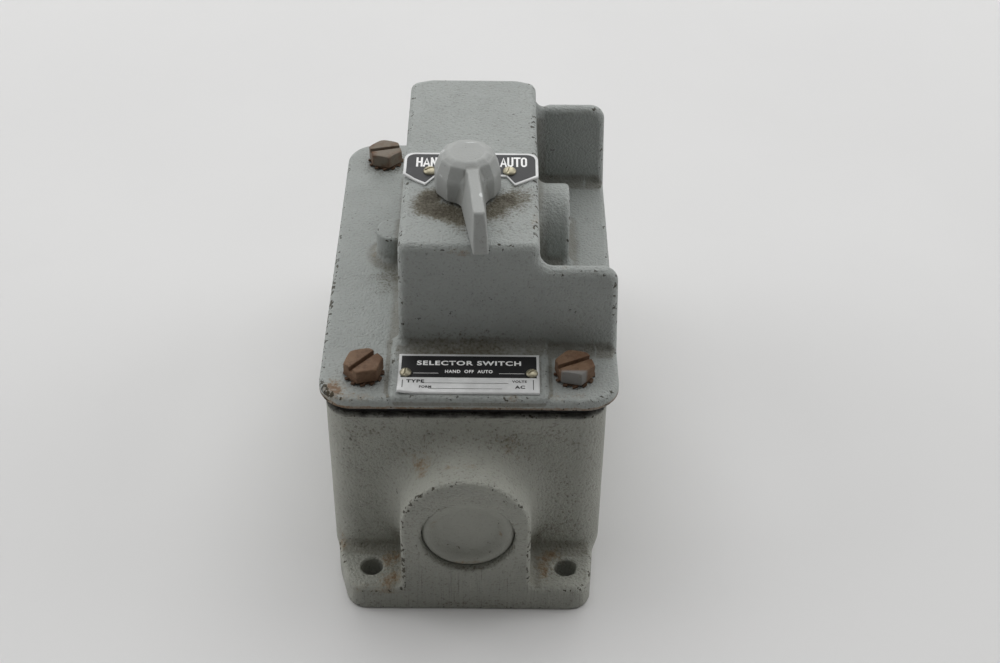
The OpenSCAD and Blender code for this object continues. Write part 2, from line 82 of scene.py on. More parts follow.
FOOT_L = BASE_HIGH[1] - BASE_LOW[1]
RIM_Z = BASE_HIGH[2]
PLATE_Z, PLATE_TOP = COVER_LOW[2], WASHER_LOW[2]
HOUSING_TOP = COVER_HIGH[2]
COVER_W, COVER_L = (COVER_HIGH - COVER_LOW)[:2]
SHAFT_X, SHAFT_Y = ((SHAFT_LOW + SHAFT_HIGH) / 2)[:2]
LEGEND_FACE, NAME_FACE = HOUSING_TOP + 0.6, NAME_HIGH[2]
BASE_SHIFT = -0.8  # the base's walls stand this far to the left of the feet
BASE_HALF_W, BASE_HALF_L, BASE_CORNER = 44.8, 71.9, 9.0
FOOT_TOP, FOOT_HALF_W, FOOT_CORNER = 9.5, 40.3, 6.5
FOOT_HOLE_X, FOOT_HOLE_Y, FOOT_HOLE_R = 32.1, 80.4, 3.6
HUB_R, HUB_ARCH_Z, BORE_Z, BORE_R = 21.0, 37.8, 33.9, 15.1
BONDING_XY, BONDING_R = 30.0, 5.5
COVER_CORNER, PAD_HALF_W, PAD_BACK = 11.0, 24.8, -44.0
HOUSING_X, HOUSING_Y, HOUSING_HALF_W, HOUSING_HALF_L = -0.3, 2.1, 22.0, 50.1
GUARD_TOP, GUARD_FRONT, GUARD_BACK = 108.6, -42.8, 47.0
BULGE_Y, BULGE_Z, BULGE_R, BULGE_X = 10.2, 87.0, 12.5, 33.2
BOSS_X, BOSS_Y, BOSS_R = -26.7, 2.7, 6.3
EAR_Y = 23.5  # from the shaft to the long screws that hold the contact block
BOLT_X, BOLT_Y, BOLT_HOLE_R = 33.3, 60.3, 3.6


# ---- distance fields: negative inside, in millimetres ----

def clip01(value):
    """A value held between 0 and 1."""
    return np.clip(value, 0.0, 1.0)


def ease(value, low, high):
    """Rises from 0 at low to 1 at high along the curve t*t*(3-2t)."""
    t = clip01((value - low) / (high - low))
    return t * t * (3 - 2 * t)


def round_trim(a, b, r):
    """What both solids share, with the edge where they meet rounded to radius r."""
    a, b = a + r, b + r
    return np.minimum(np.maximum(a, b), 0) + np.hypot(np.maximum(a, 0), np.maximum(b, 0)) - r


def round_join(a, b, r):
    """Both solids together, with a fillet of radius r in the corner between them."""
    return np.maximum(r, np.minimum(a, b)) - np.hypot(np.maximum(r - a, 0), np.maximum(r - b, 0))


def rounded_outline(x, y, half_w, half_l, r):
    """A rectangle with round corners, seen from above."""
    qx, qy = np.abs(x) - half_w + r, np.abs(y) - half_l + r
    return np.hypot(np.maximum(qx, 0), np.maximum(qy, 0)) + np.minimum(np.maximum(qx, qy), 0) - r


def raised(outline, z, low, high, r_low, r_high):
    """An outline carried up from low to high, its lower and upper edges rounded."""
    middle, half = (low + high) / 2, (high - low) / 2
    return round_trim(outline, np.abs(z - middle) - half, np.where(z > middle, r_high, r_low))


def from_four(x, y, half_x, half_y):
    """Distance to the nearest of four upright axes at plus and minus half_x and half_y."""
    return np.hypot(np.abs(x) - half_x, np.abs(y) - half_y)


def uneven(x, y, z, amount):
    """Slow hollows in a casting's skin: a product of sine waves from 0 to amount deep."""
    a = np.sin(x * 0.19 + 1.7 * np.sin(y * 0.083 + 0.4) + 0.6)
    b = np.sin(y * 0.16 + 1.4 * np.sin(z * 0.11 + 1.9) + 2.2)
    c = np.sin(z * 0.21 + 1.2 * np.sin(x * 0.097 + 2.5) + 4.1)
    return amount * (0.5 + 0.25 * (a * b + b * c) * np.ones_like(a * b * c))


def base_field(x, y, z):
    """Walls, foot plate and two conduit hubs joined by fillets, less cavity, bore and holes."""
    wall_outline = rounded_outline(x - BASE_SHIFT, y, BASE_HALF_W, BASE_HALF_L, BASE_CORNER)
    walls = raised(wall_outline, z, 5.6, RIM_Z, 3.4, 0.8)
    side = np.where(z > HUB_ARCH_Z, np.hypot(x - BASE_SHIFT, z - HUB_ARCH_Z), np.abs(x - BASE_SHIFT))
    feet = round_join(z - FOOT_TOP, side - HUB_R, 2.6)
    widen = ease(FOOT_L / 2 - np.abs(y), 2, 20) * np.where(x < 0, 3.6, 1.2)
    foot_outline = rounded_outline(x, y, FOOT_HALF_W + widen, FOOT_L / 2, FOOT_CORNER)
    feet = round_trim(feet, foot_outline, 1.5)
    body = round_join(walls, feet, 2.5 + 6.5 * ease(z, 10, 28))
    cavity = rounded_outline(x - BASE_SHIFT, y, BASE_HALF_W - 5.5, BASE_HALF_L - 5.5, 3.5)
    cavity = np.maximum(cavity, 7.5 - from_four(x, y, BOLT_X, BOLT_Y))
    cavity = round_trim(cavity, 6.5 - z, 1.6)
    from_bonding = np.hypot(x - BONDING_XY, y - BONDING_XY)
    cavity = np.maximum(cavity, -round_trim(from_bonding - BONDING_R, z - 11.5, 0.5))
    body = round_trim(body, -cavity, 0.6)
    body = body + uneven(x, y, z, 0.16) * ease(z, 1, 8)
    body = round_trim(body, BORE_R - np.hypot(x, z - BORE_Z), 0.7)
    body = round_trim(body, FOOT_HOLE_R - from_four(x, y, FOOT_HOLE_X, FOOT_HOLE_Y), 0.5)
    thread = np.maximum(from_four(x, y, BOLT_X, BOLT_Y) - 3.2, RIM_Z - 26 - z)
    thread = np.minimum(thread, np.maximum(from_bonding - 2.45, 3.5 - z))
    body = np.maximum(body, -thread)
    return round_trim(body, -z, 0.6)


def cover_field(x, y, z):
    """Plate, nameplate pad, housing, guard walls, half-round bulge and boss, hollowed below."""
    outline = rounded_outline(x, y, COVER_W / 2, COVER_L / 2, COVER_CORNER)
    plate = raised(outline, z, PLATE_Z, PLATE_TOP, 0.5, 1.7)
    pad = round_trim(np.maximum(np.abs(x) - PAD_HALF_W, y - PAD_BACK), z - PLATE_TOP - 1.1, 1.05)
    pad = round_trim(pad, outline, 1.7)
    plate = round_join(plate, pad, 1.6 * clip01((y + 72.6) / 4))

    lean = (HOUSING_TOP - z) * 0.016
    sides = round_trim(np.abs(x - HOUSING_X) - HOUSING_HALF_W - lean, z - HOUSING_TOP, 2.7)
    right_face = x - np.minimum(46.4 + (GUARD_TOP - z) * 0.035, COVER_W / 2)
    guard = np.maximum(round_trim(right_face, z - GUARD_TOP, 5.0), -x)
    front_guard = round_trim(guard, y - GUARD_FRONT, 2.3)
    back_guard = round_trim(guard, GUARD_BACK - y, 2.3)
    arch = np.where(z > BULGE_Z, np.hypot(y - BULGE_Y, z - BULGE_Z), np.abs(y - BULGE_Y)) - BULGE_R
    bulge = np.maximum(round_trim(arch, x - BULGE_X, 1.5), -x)
    upper = round_join(sides, np.minimum(front_guard, back_guard), 4.2)
    upper = round_join(upper, bulge, 3.6)
    corner = ease(y, 30, 45) * ease(np.abs(x - HOUSING_X), 14, 21) * (1 - ease(x, 24, 27))
    ends = np.abs(y - HOUSING_Y) - HOUSING_HALF_L - lean * 0.5
    upper = round_trim(upper, ends, 2.7 + 2.6 * corner)
    boss = np.where(x > BOSS_X, np.abs(y - BOSS_Y), np.hypot(x - BOSS_X, y - BOSS_Y)) - BOSS_R
    boss = np.maximum(round_trim(boss, z - 88.0, 0.8), x)
    upper = round_join(upper, boss, 1.8)
    body = round_join(plate, upper, 3.3 * clip01((46.5 - x) / 6))
    body = body + uneven(x, y, z, 0.14) * (1 - ease(z, 116, 118)) * ease(z, 73, 76)

    hollow = rounded_outline(x - HOUSING_X, y - HOUSING_Y, 18.0, 46.0, 2.0)
    hollow = round_trim(hollow, z - HOUSING_TOP + 5, 1.5)
    core = np.hypot(y - BULGE_Y, z - BULGE_Z) - BULGE_R + 4
    hollow = round_join(hollow, np.maximum(core, np.maximum(x - BULGE_X + 4.5, 10 - x)), 1.0)
    ears = np.hypot(x - SHAFT_X, np.abs(y - SHAFT_Y) - EAR_Y)
    posts = np.maximum(ears - 4.2, 80 - z)
    spring_pad = np.maximum(np.abs(x - SHAFT_X + 14.25) - 2.75, np.abs(y - SHAFT_Y + 15.5) - 2.5)
    posts = np.minimum(posts, np.maximum(spring_pad, 91.6 - z))
    hollow = np.maximum(hollow, -posts)
    holes = from_four(x, y, BOLT_X, BOLT_Y) - BOLT_HOLE_R
    shaft_hole = np.hypot(x - SHAFT_X, y - SHAFT_Y) - 6.35
    holes = np.minimum(holes, np.maximum(shaft_hole, 112 - z))
    holes = np.minimum(holes, np.maximum(ears - 1.95, np.abs(z - 87) - 8))
    body = round_trim(body, -np.minimum(hollow, holes), 0.3)
    return round_trim(body, PLATE_Z - z, 0.3)


# Turns of the knob's hub and lever in degrees, and the lever's length at its foot
HUB_TURN, LEVER_TURN, LEVER_REACH = 8.5, 5.95, 37.5


def knob_axes(x, y, turn, shift):
    """Distances across and along the lever, with the lever turned and moved sideways."""
    a = math.radians(turn)
    across = (x - SHAFT_X - shift) * math.cos(a) + (y - SHAFT_Y) * math.sin(a)
    along = (x - SHAFT_X - shift) * math.sin(a) - (y - SHAFT_Y) * math.cos(a)
    return across, along


def knob_field(x, y, z):
    """Twelve-sided hub with two sloping shoulders and a tapered lever, hollow below. The hub,
    the lever and the socket are each turned and moved a little differently, as cast."""
    up = z - HOUSING_TOP
    across, along = knob_axes(x, y, HUB_TURN, -0.2)
    side, ahead = np.abs(across), np.abs(along - 0.55 + 0.04 * up)
    flats = np.maximum(np.maximum(side, ahead),
                       np.maximum(side * 0.866 + ahead * 0.5, side * 0.5 + ahead * 0.866))
    hub = round_trim(flats - 10.45 + up * 0.02, flats * 0.929 + up * 0.37 - 12.55, 0.25)
    hub = round_trim(hub, flats * 0.43 + up * 0.903 - 15.2, 0.25)
    hub = round_trim(hub, up - 13.9, 0.25)
    across, along = knob_axes(x, y, LEVER_TURN, 0.71)
    top_half = 1.8 + 1.1 * (1 - ease(along, 4, 12))
    half = top_half + (12.5 - up) / 11.6 * (2.9 - 0.061 * np.maximum(along, 8))
    lever = round_trim((np.abs(across) - half) * 0.97, up - 13.1 + 0.026 * along, 0.4)
    end = (along - LEVER_REACH + (up - 0.9) * 0.55) * 0.876
    lever = round_trim(lever, end, 0.6)
    lever = np.maximum(lever, 3.0 - along)
    knob = round_join(hub, lever, 0.25 + 1.1 * ease(along, 6, 10) * (1 - ease(up, 9, 12)))
    across, along = knob_axes(x, y, 6.0, 0.0)
    radius = np.hypot(across, along)
    socket = np.minimum(np.maximum(radius - 6.8, up - 3.5), np.maximum(radius - 3.2, up - 11.5))
    screw = np.maximum(np.hypot(x - SHAFT_X + (y - SHAFT_Y) * 0.105, up - 6.5) - 2.05, SHAFT_Y - y)
    knob = round_trim(knob, -np.minimum(socket, screw), 0.25)
    return round_trim(knob, 0.9 - up, 0.4)


# Bolts: half the width over the flats, head height, shank radius and length, thread turns
HEAD_HALF, HEAD_H, SHANK_R, SHANK_L, TURNS_PER_MM = 5.55, 4.8, 2.95, 24.6, 0.787
# Star washers: outer and inner radius of the ring, and the number of teeth
WASHER_OUT, WASHER_IN, TEETH = 5.5, 3.6, 12


def bolt_field(hex_turn, slot_turn, place):
    """A chamfered hexagon head with a screwdriver slot on a threaded shank, as a function."""
    def field(x, y, z):
        u, v, up = x - place[0], y - place[1], z - place[2]
        flats = -1e9
        for turn in (hex_turn + 30, hex_turn + 90, hex_turn + 150):
            a = math.radians(turn)
            flats = np.maximum(flats, np.abs(u * math.cos(a) + v * math.sin(a)))
        radius = np.hypot(u, v)
        head = round_trim(flats - HEAD_HALF, up - HEAD_H, 0.25)
        head = round_trim(head, radius * 0.5 + up * 0.866 - 6.95, 0.2)
        head = round_trim(head, -up, 0.2)
        a = math.radians(slot_turn)
        slot = np.abs(v * math.cos(a) - u * math.sin(a)) - 0.8
        head = round_trim(head, -np.maximum(slot, 3.1 - up), 0.15)
        ridge = np.abs(((up * TURNS_PER_MM + np.arctan2(v, u) / (2 * math.pi)) % 1) - 0.5) - 0.25
        shank = np.maximum(radius - SHANK_R - ridge * 0.5, np.maximum(up - 1, -SHANK_L - up))
        return np.minimum(head, shank)
    return field


def washer_field(place):
    """A flat ring with twelve outside teeth, each twisted about its own radius."""
    def field(x, y, z):
        u, v, up = x - place[0], y - place[1], z - place[2] - 0.5
        radius, angle = np.hypot(u, v), np.arctan2(v, u)
        ring = np.maximum(np.maximum(radius - WASHER_OUT, WASHER_IN - radius), np.abs(up) - 0.34)
        near = (angle * TEETH / (2 * math.pi) + 0.5) % 1 - 0.5
        offset = near * 2 * math.pi / TEETH * radius
        across, tilt = offset * 0.93 + up * 0.37, up * 0.93 - offset * 0.37
        tooth = np.maximum(np.abs(across) - 0.8, np.abs(tilt) - 0.3)
        tooth = np.maximum(np.maximum(tooth, np.abs(radius - 5.85) - 0.7), np.abs(up) - 0.5)
        return np.minimum(ring, tooth)
    return field


def screw_field(place, head_r, head_h, shank_r, shank_l, turn):
    """A domed head with a slot on a plain shank."""
    def field(x, y, z):
        u, v, up = x - place[0], y - place[1], z - place[2]
        radius = np.hypot(u, v)
        dome = np.hypot(radius, up + head_h * 0.9) - head_h * 1.9
        head = np.maximum(round_trim(dome, radius - head_r, 0.15), -up)
        a = math.radians(turn)
        slot = np.maximum(np.abs(v * math.cos(a) - u * math.sin(a)) - head_r * 0.14, head_h * 0.5 - up)
        head = round_trim(head, -slot, 0.08)
        return np.minimum(head, np.maximum(radius - shank_r, np.maximum(up - 0.3, -shank_l - up)))
    return field


# ---- surfaces from fields, profiles and outlines ----

def steps(low, high, step, fine=()):
    """Grid planes from low to high, closer together inside each (start, end, step) of fine."""
    marks = [low]
    while marks[-1] < high:
        inside = [s for a, b, s in fine if a - 1e-6 <= marks[-1] < b]
        marks.append(marks[-1] + (inside[0] if inside else step))
    return np.array(marks)


def surface_net(field, xs, ys, zs):
    """Mesh of a field's zero surface. Each grid cell that the surface crosses gets one vertex,
    the mean of the crossings on its edges, and each crossed edge joins its four cells."""
    grid = np.meshgrid(xs, ys, zs, indexing="ij")
    value = field(*grid)
    cells = tuple(n - 1 for n in value.shape)
    total, count = np.zeros(cells + (3,)), np.zeros(cells)
    edges = []
    for axis in range(3):
        b, c = (axis + 1) % 3, (axis + 2) % 3
        order = (axis, b, c)
        v = value.transpose(order)
        low, high = v[:-1], v[1:]
        crossed = (low < 0) != (high < 0)
        share = np.where(crossed, low / np.where(crossed, low - high, 1), 0)
        t, n = total.transpose(order + (3,)), count.transpose(order)
        for k in range(3):
            p = grid[k].transpose(order)
            point = np.where(crossed, p[:-1] + share * (p[1:] - p[:-1]), 0)
            for i in (0, 1):
                for j in (0, 1):
                    t[..., k] += point[:, i:i + n.shape[1], j:j + n.shape[2]]
        for i in (0, 1):
            for j in (0, 1):
                n += crossed[:, i:i + n.shape[1], j:j + n.shape[2]]
        edges.append((order, crossed, low < 0))
    active = count > 0
    index = (np.cumsum(active.ravel()) - 1).reshape(cells)
    vertices = total[active] / count[active][:, None]
    quads = []
    for order, crossed, outward in edges:
        ids = index.transpose(order)
        inner = crossed[:, 1:-1, 1:-1]
        loop = np.stack([ids[:, :-1, :-1][inner], ids[:, 1:, :-1][inner],
                         ids[:, 1:, 1:][inner], ids[:, :-1, 1:][inner]], axis=1)
        up = outward[:, 1:-1, 1:-1][inner]
        quads.append(np.where(up[:, None], loop, loop[:, ::-1]))
    return vertices, np.concatenate(quads)


def gradient(field, points, step):
    """Central differences of a field at points, one row for each."""
    rows = []
    for axis in range(3):
        shift = np.zeros(3)
        shift[axis] = step
        rows.append((field(*(points + shift).T) - field(*(points - shift).T)) / (2 * step))
    return np.stack(rows, axis=1)


def settle(field, points, step, reach):
    """Moves points onto the zero surface by three Newton steps, each at most reach long."""
    for _ in range(3):
        slope = gradient(field, points, step)
        size = np.maximum((slope * slope).sum(1), 0.05)
        move = -field(*points.T)[:, None] * slope / size[:, None]
        length = np.maximum(np.linalg.norm(move, axis=1, keepdims=True), 1e-9)
        points = points + move * np.minimum(1, reach / length)
    slope = gradient(field, points, step)
    return points, slope / np.maximum(np.linalg.norm(slope, axis=1, keepdims=True), 1e-9)


def grid_faces(rows, columns, ring_rows=False, ring_columns=False):
    """Quads between the rows and columns of a grid of points numbered row by row. A ring's
    last row or column joins its first."""
    i, j = np.meshgrid(np.arange(rows if ring_rows else rows - 1),
                       np.arange(columns if ring_columns else columns - 1), indexing="ij")
    n, k = (i + 1) % rows, (j + 1) % columns
    quads = [i * columns + j, n * columns + j, n * columns + k, i * columns + k]
    return np.stack(quads, 2).reshape(-1, 4)


def make_mesh(name, points, faces, normals=None, marks=None):
    """A mesh object at the origin from points in millimetres and rows of face corners."""
    mesh = bpy.data.meshes.new(name)
    size = faces.shape[1]
    mesh.vertices.add(len(points))
    mesh.vertices.foreach_set("co", (points * MM).astype(np.float32).ravel())
    mesh.loops.add(faces.size)
    mesh.loops.foreach_set("vertex_index", faces.astype(np.int32).ravel())
    mesh.polygons.add(len(faces))
    mesh.polygons.foreach_set("loop_start", np.arange(0, faces.size, size, dtype=np.int32))
    mesh.update(calc_edges=True)
    mesh.shade_smooth()
    if normals is not None:
        mesh.normals_split_custom_set_from_vertices(normals.astype(np.float32))
    for key, values in (marks or {}).items():
        set_mark(mesh, key, values)
    made = bpy.data.objects.new(name, mesh)
    bpy.context.scene.collection.objects.link(made)
    return made


def set_mark(mesh, key, values):
    """Stores one number for each vertex, which a finish reads by its name."""
    layer = mesh.attributes.new(key, "FLOAT", "POINT")
    layer.data.foreach_set("value", values.astype(np.float32))


def cast_marks(field, points, normals, span, reach):
    """Edge wear, which also paints highlights along edges, and hollow grime with painted shade, from 0
    to 1.
    The field's second differences over a span are its surface's bend: outward on edges, inward in
    fillets.
    A point reach away along the normal is nearer to another face than reach where the surface lies in a
    hollow, where shade falls."""
    bend = -6 * field(*points.T)
    for axis in range(3):
        shift = np.zeros(3)
        shift[axis] = span
        bend = bend + field(*(points + shift).T) + field(*(points - shift).T)
    bend = bend / span ** 2
    outward = field(*(points + normals * reach).T)
    deep = clip01((reach - outward) / reach * 1.5)
    return {"edge": clip01((bend - 0.10) / 0.38),
            "hollow": np.maximum(deep, clip01((-bend - 0.05) / 0.25))}


def cast_surface(field, axes, step, small, span, reach):
    """A field's zero surface, its normals and its marks. Slopes are taken over small."""
    points, faces = surface_net(field, *axes)
    points, normals = settle(field, points, small, step * 0.5)
    return points, faces, normals, cast_marks(field, points, normals, span, reach)


def patches(points, places):
    """Sum of soft round patches: each place is a centre, three radii and a strength."""
    total = np.zeros(len(points))
    for centre, radii, strength in places:
        away = (((points - np.array(centre)) / np.array(radii)) ** 2).sum(1)
        total += strength * np.exp(-away)
    return clip01(total)


def revolve(name, profile, centre, count=96):
    """A profile of (radius, height) rows turned about Y. Rows of no radius become one pole."""
    radius, height = np.array(profile, float).T
    angle = np.arange(count) * 2 * math.pi / count
    ring = np.stack([np.outer(radius, np.cos(angle)), np.repeat(height[:, None], count, 1),
                     np.outer(radius, np.sin(angle))], axis=2)
    points = ring[1:-1].reshape(-1, 3)
    rows = len(radius) - 2
    quads = grid_faces(rows, count, ring_columns=True)
    j = np.arange(count)
    k = (j + 1) % count
    first, last = len(points), len(points) + 1
    top = np.stack([np.full(count, first), j, k], 1)
    end = (rows - 1) * count
    bottom = np.stack([np.full(count, last), end + k, end + j], 1)
    points = np.concatenate([points, ring[0, :1], ring[-1, :1]]) + np.array(centre)
    triangles = np.concatenate([quads[:, [0, 1, 2]], quads[:, [0, 2, 3]], top, bottom])
    return make_mesh(name, points, triangles)


def smooth_path(points, per_span):
    """Catmull-Rom curve through points, with per_span steps from each to the next."""
    p = np.array(points, float)
    p = np.concatenate([p[:1], p, p[-1:]])
    t = np.arange(per_span)[None, :, None] / per_span
    a, b, c, d = (p[k:len(p) - 3 + k, None, :] for k in range(4))
    curve = 0.5 * (2 * b + (c - a) * t + (2 * a - 5 * b + 4 * c - d) * t ** 2
                   + (3 * b - a - 3 * c + d) * t ** 3)
    return np.concatenate([curve.reshape(-1, p.shape[1]), p[-1:]])


def sheet_between(name, x, lower, upper, height, rows):
    """A sheet whose columns run from a lower to an upper outline at each x."""
    share = np.linspace(0, 1, rows)[None, :]
    y = lower[:, None] * (1 - share) + upper[:, None] * share
    x = np.repeat(x[:, None], rows, 1)
    points = np.stack([x, y, height(x, y)], axis=2).reshape(-1, 3)
    return make_mesh(name, points, grid_faces(x.shape[0], rows))


def net_object(name, fields, step, boxes):
    """One object from the zero surfaces of several fields, each in its own box."""
    all_points, all_faces, all_normals, base = [], [], [], 0
    for field, (low, high) in zip(fields, boxes):
        axes = [steps(a, b, step) for a, b in zip(low, high)]
        points, faces = surface_net(field, *axes)
        points, normals = settle(field, points, step * 0.08, step * 0.5)
        all_points.append(points)
        all_normals.append(normals)
        all_faces.append(faces + base)
        base += len(points)
    return make_mesh(name, np.concatenate(all_points), np.concatenate(all_faces),
                     np.concatenate(all_normals))


def arc(x, y, r, start, end, count=9):
    """Points round an arc, its angles in degrees."""
    a = np.radians(np.linspace(start, end, count))
    return [(x + r * math.cos(v), y + r * math.sin(v)) for v in a]


# Strokes of the condensed bold letters, each one unit wide and TALL units high
TALL, LETTER_ADVANCE, STROKE_LAYER = 2.35, 1.62, 0.02
LEFT_STEM, RIGHT_STEM = [(0, 0), (0, TALL)], [(1, 0), (1, TALL)]
STROKES = {
    "H": [LEFT_STEM, RIGHT_STEM, [(0, TALL / 2), (1, TALL / 2)]],
    "A": [[(-0.1, 0), (0.5, TALL), (1.1, 0)], [(0.1, 0.6), (0.9, 0.6)]],
    "N": [LEFT_STEM, [(0, TALL), (1, 0)], RIGHT_STEM],
    "D": [LEFT_STEM, [(0, TALL)] + arc(0.5, TALL - 0.5, 0.5, 90, 0)
          + arc(0.5, 0.5, 0.5, 0, -90) + [(0, 0)]],
    "U": [[(0, TALL)] + arc(0.5, 0.5, 0.5, 180, 360, 17) + [(1, TALL)]],
    "T": [[(0.5, 0), (0.5, TALL)], [(-0.1, TALL), (1.1, TALL)]],
    "O": [arc(0.5, TALL - 0.5, 0.5, 0, 180, 17) + arc(0.5, 0.5, 0.5, 180, 360, 17)
          + [(1, TALL - 0.5)]],
    "F": [LEFT_STEM, [(0, TALL), (1, TALL)], [(0, 1.25), (0.85, 1.25)]],
}


def ribbon(path, width):
    """A flat band of even width along a path, square at its ends and mitred at its bends."""
    p = np.array(path, float)
    run = np.diff(p, axis=0)
    run = run / np.linalg.norm(run, axis=1, keepdims=True)
    side = np.column_stack([-run[:, 1], run[:, 0]])
    before, after = np.concatenate([side[:1], side]), np.concatenate([side, side[-1:]])
    if np.allclose(p[0], p[-1]):
        before[0], after[-1] = side[-1], side[0]
    else:
        p[0], p[-1] = p[0] - run[0] * width / 2, p[-1] + run[-1] * width / 2
    joint = before + after
    joint = joint / np.maximum((joint * before).sum(1, keepdims=True), 0.6)
    points = np.concatenate([p - joint * width / 2, p + joint * width / 2])
    n, i = len(p), np.arange(len(p) - 1)
    faces = [np.stack([i, i + 1, n + i + 1], 1), np.stack([i, n + i + 1, n + i], 1)]
    return points, np.concatenate(faces)


def bold_word(text, tall, wide, stem=0.46):
    """Condensed bold letters of even strokes, fitted to a height and a whole width. Strokes
    that cross lie in thin layers, so a third column holds how far each one is raised."""
    all_points, all_faces, raise_by, base = [], [], [], 0
    for place, letter in enumerate(text):
        for layer, path in enumerate(STROKES[letter]):
            points, faces = ribbon(path, stem)
            all_points.append(points + np.array([place * LETTER_ADVANCE, 0.0]))
            all_faces.append(faces + base)
            raise_by.append(np.full(len(points), layer * STROKE_LAYER))
            base += len(points)
    points, faces = fitted(np.concatenate(all_points), np.concatenate(all_faces), tall, wide)
    return np.column_stack([points, np.concatenate(raise_by)]), faces


def fitted(points, faces, tall, wide):
    """Flat letters moved to the middle and scaled to their size, faces turned upwards."""
    a, b, c = points[faces[:, 0]], points[faces[:, 1]], points[faces[:, 2]]
    area = (b - a)[:, 0] * (c - a)[:, 1] - (b - a)[:, 1] * (c - a)[:, 0]
    faces = np.where(area[:, None] < 0, faces[:, ::-1], faces)
    low, high = points.min(0), points.max(0)
    return (points - (low + high) / 2) / (high - low) * np.array([wide, tall]), faces


def typed_word(name, text, tall, wide):
    """Letters of the plain built-in face as flat triangles."""
    curve = bpy.data.curves.new(name, "FONT")
    curve.body, curve.size, curve.offset, curve.space_character = text, 1.0, 0.034, 1.15
    holder = bpy.data.objects.new(name, curve)
    bpy.context.scene.collection.objects.link(holder)
    graph = bpy.context.evaluated_depsgraph_get()
    mesh = bpy.data.meshes.new_from_object(holder.evaluated_get(graph))
    mesh.calc_loop_triangles()
    co = np.zeros(len(mesh.vertices) * 3, np.float32)
    mesh.vertices.foreach_get("co", co)
    corner = np.zeros(len(mesh.loop_triangles) * 3, np.int32)
    mesh.loop_triangles.foreach_get("vertices", corner)
    bpy.data.objects.remove(holder)
    bpy.data.curves.remove(curve)
    bpy.data.meshes.remove(mesh)
    return fitted(co.reshape(-1, 3)[:, :2].astype(float), corner.reshape(-1, 3), tall, wide)


def lettering(name, words, height, bold=False):
    """Flat letters and bars joined into one mesh. Each word is its text, its middle, its
    letter height and its whole width, and each bar is None, its middle and its two sizes."""
    all_points, all_faces, base = [], [], 0
    for text, x, y, tall, wide in words:
        if text is None:
            points = np.array([[-1, -1], [1, -1], [1, 1], [-1, 1]]) * np.array([tall, wide]) / 2
            faces = np.array([[0, 1, 2], [0, 2, 3]])
        elif bold:
            points, faces = bold_word(text, tall, wide)
        else:
            points, faces = typed_word(name + "_type", text, tall, wide)
        lift = points[:, 2] if points.shape[1] == 3 else 0.0
        points = points[:, :2] + np.array([x, y])
        all_points.append(np.column_stack([points, height(points[:, 0], points[:, 1]) + lift]))
        all_faces.append(faces + base)
        base += len(points)
    return make_mesh(name, np.concatenate(all_points), np.concatenate(all_faces))


# ---- finishes ----

class Value:
    """One output of a material's nodes. Plus, minus and times on it add Math nodes."""

    def __init__(self, paint, socket):
        self.paint, self.socket = paint, socket

    def _math(self, operation, *values):
        """A Math node of that operation on the values in order."""
        return self.paint.node("ShaderNodeMath", {"operation": operation}, dict(enumerate(values)))

    def __add__(self, other):
        return self._math("ADD", self, other)

    __radd__ = __add__

    def __sub__(self, other):
        return self._math("SUBTRACT", self, other)

    def __rsub__(self, other):
        return self._math("SUBTRACT", other, self)

    def __mul__(self, other):
        return self._math("MULTIPLY", self, other)

    __rmul__ = __mul__

    def ramp(self, low, high):
        """0 below low and 1 above high, smooth between. With low above high it falls."""
        return self.paint.node("ShaderNodeMapRange", {"interpolation_type": "SMOOTHSTEP"},
                               {"Value": self, "From Min": low, "From Max": high})


class Paint:
    """The nodes of one material, read from Object coordinates."""

    def __init__(self, name):
        self.material = bpy.data.materials.new(name)
        self.material.use_nodes = True
        self.tree = self.material.node_tree
        self.shader = self.tree.nodes["Principled BSDF"]
        self.place = self.node("ShaderNodeTexCoord", {}, {}, "Object")

    def node(self, kind, settings, inputs, output=0):
        """Adds a node, sets its settings, then its inputs as numbers, colours or links."""
        made = self.tree.nodes.new(kind)
        for key, value in settings.items():
            setattr(made, key, value)
        for key, value in inputs.items():
            if isinstance(value, Value):
                self.tree.links.new(value.socket, made.inputs[key])
            else:
                made.inputs[key].default_value = value
        return Value(self, made.outputs[output])

    def mark(self, name):
        """A piece's own attribute, such as its edge wear."""
        return self.node("ShaderNodeAttribute", {"attribute_name": name}, {}, "Fac")

    def axis(self, letter):
        """One Object coordinate, X, Y or Z, in metres."""
        return self.node("ShaderNodeSeparateXYZ", {}, {0: self.place}, letter)

    def noise(self, scale, detail=3.0, rough=0.55, stretch=(1.0, 1.0, 1.0), shift=(0, 0, 0)):
        """Noise of that many waves to a metre, stretched and shifted by a Mapping node."""
        place = self.node("ShaderNodeMapping", {},
                          {"Vector": self.place, "Location": shift, "Scale": stretch})
        return self.node("ShaderNodeTexNoise", {}, {"Vector": place, "Scale": scale,
                         "Detail": detail, "Roughness": rough}, "Fac")

    def mix(self, share, first, second):
        """Colour from first to second by share."""
        return self.node("ShaderNodeMix", {"data_type": "RGBA", "clamp_factor": True},
                         {0: share, 6: first, 7: second}, 2)

    def bump(self, height, distance, strength):
        """A normal that leans as if the height rose by so many metres."""
        return self.node("ShaderNodeBump", {},
                         {"Strength": strength, "Distance": distance, "Height": height})

    def finish(self, **inputs):
        """Sets or links the shader's sockets, named with _ for a space."""
        for key, value in inputs.items():
            socket = self.shader.inputs[key.replace("_", " ")]
            if isinstance(value, Value):
                self.tree.links.new(value.socket, socket)
            else:
                socket.default_value = value
        return self.material


def tint(colour, factor=1.0):
    """A colour as four numbers, brightened or darkened."""
    return tuple(min(1.0, c * factor) for c in colour[:3]) + (1.0,)
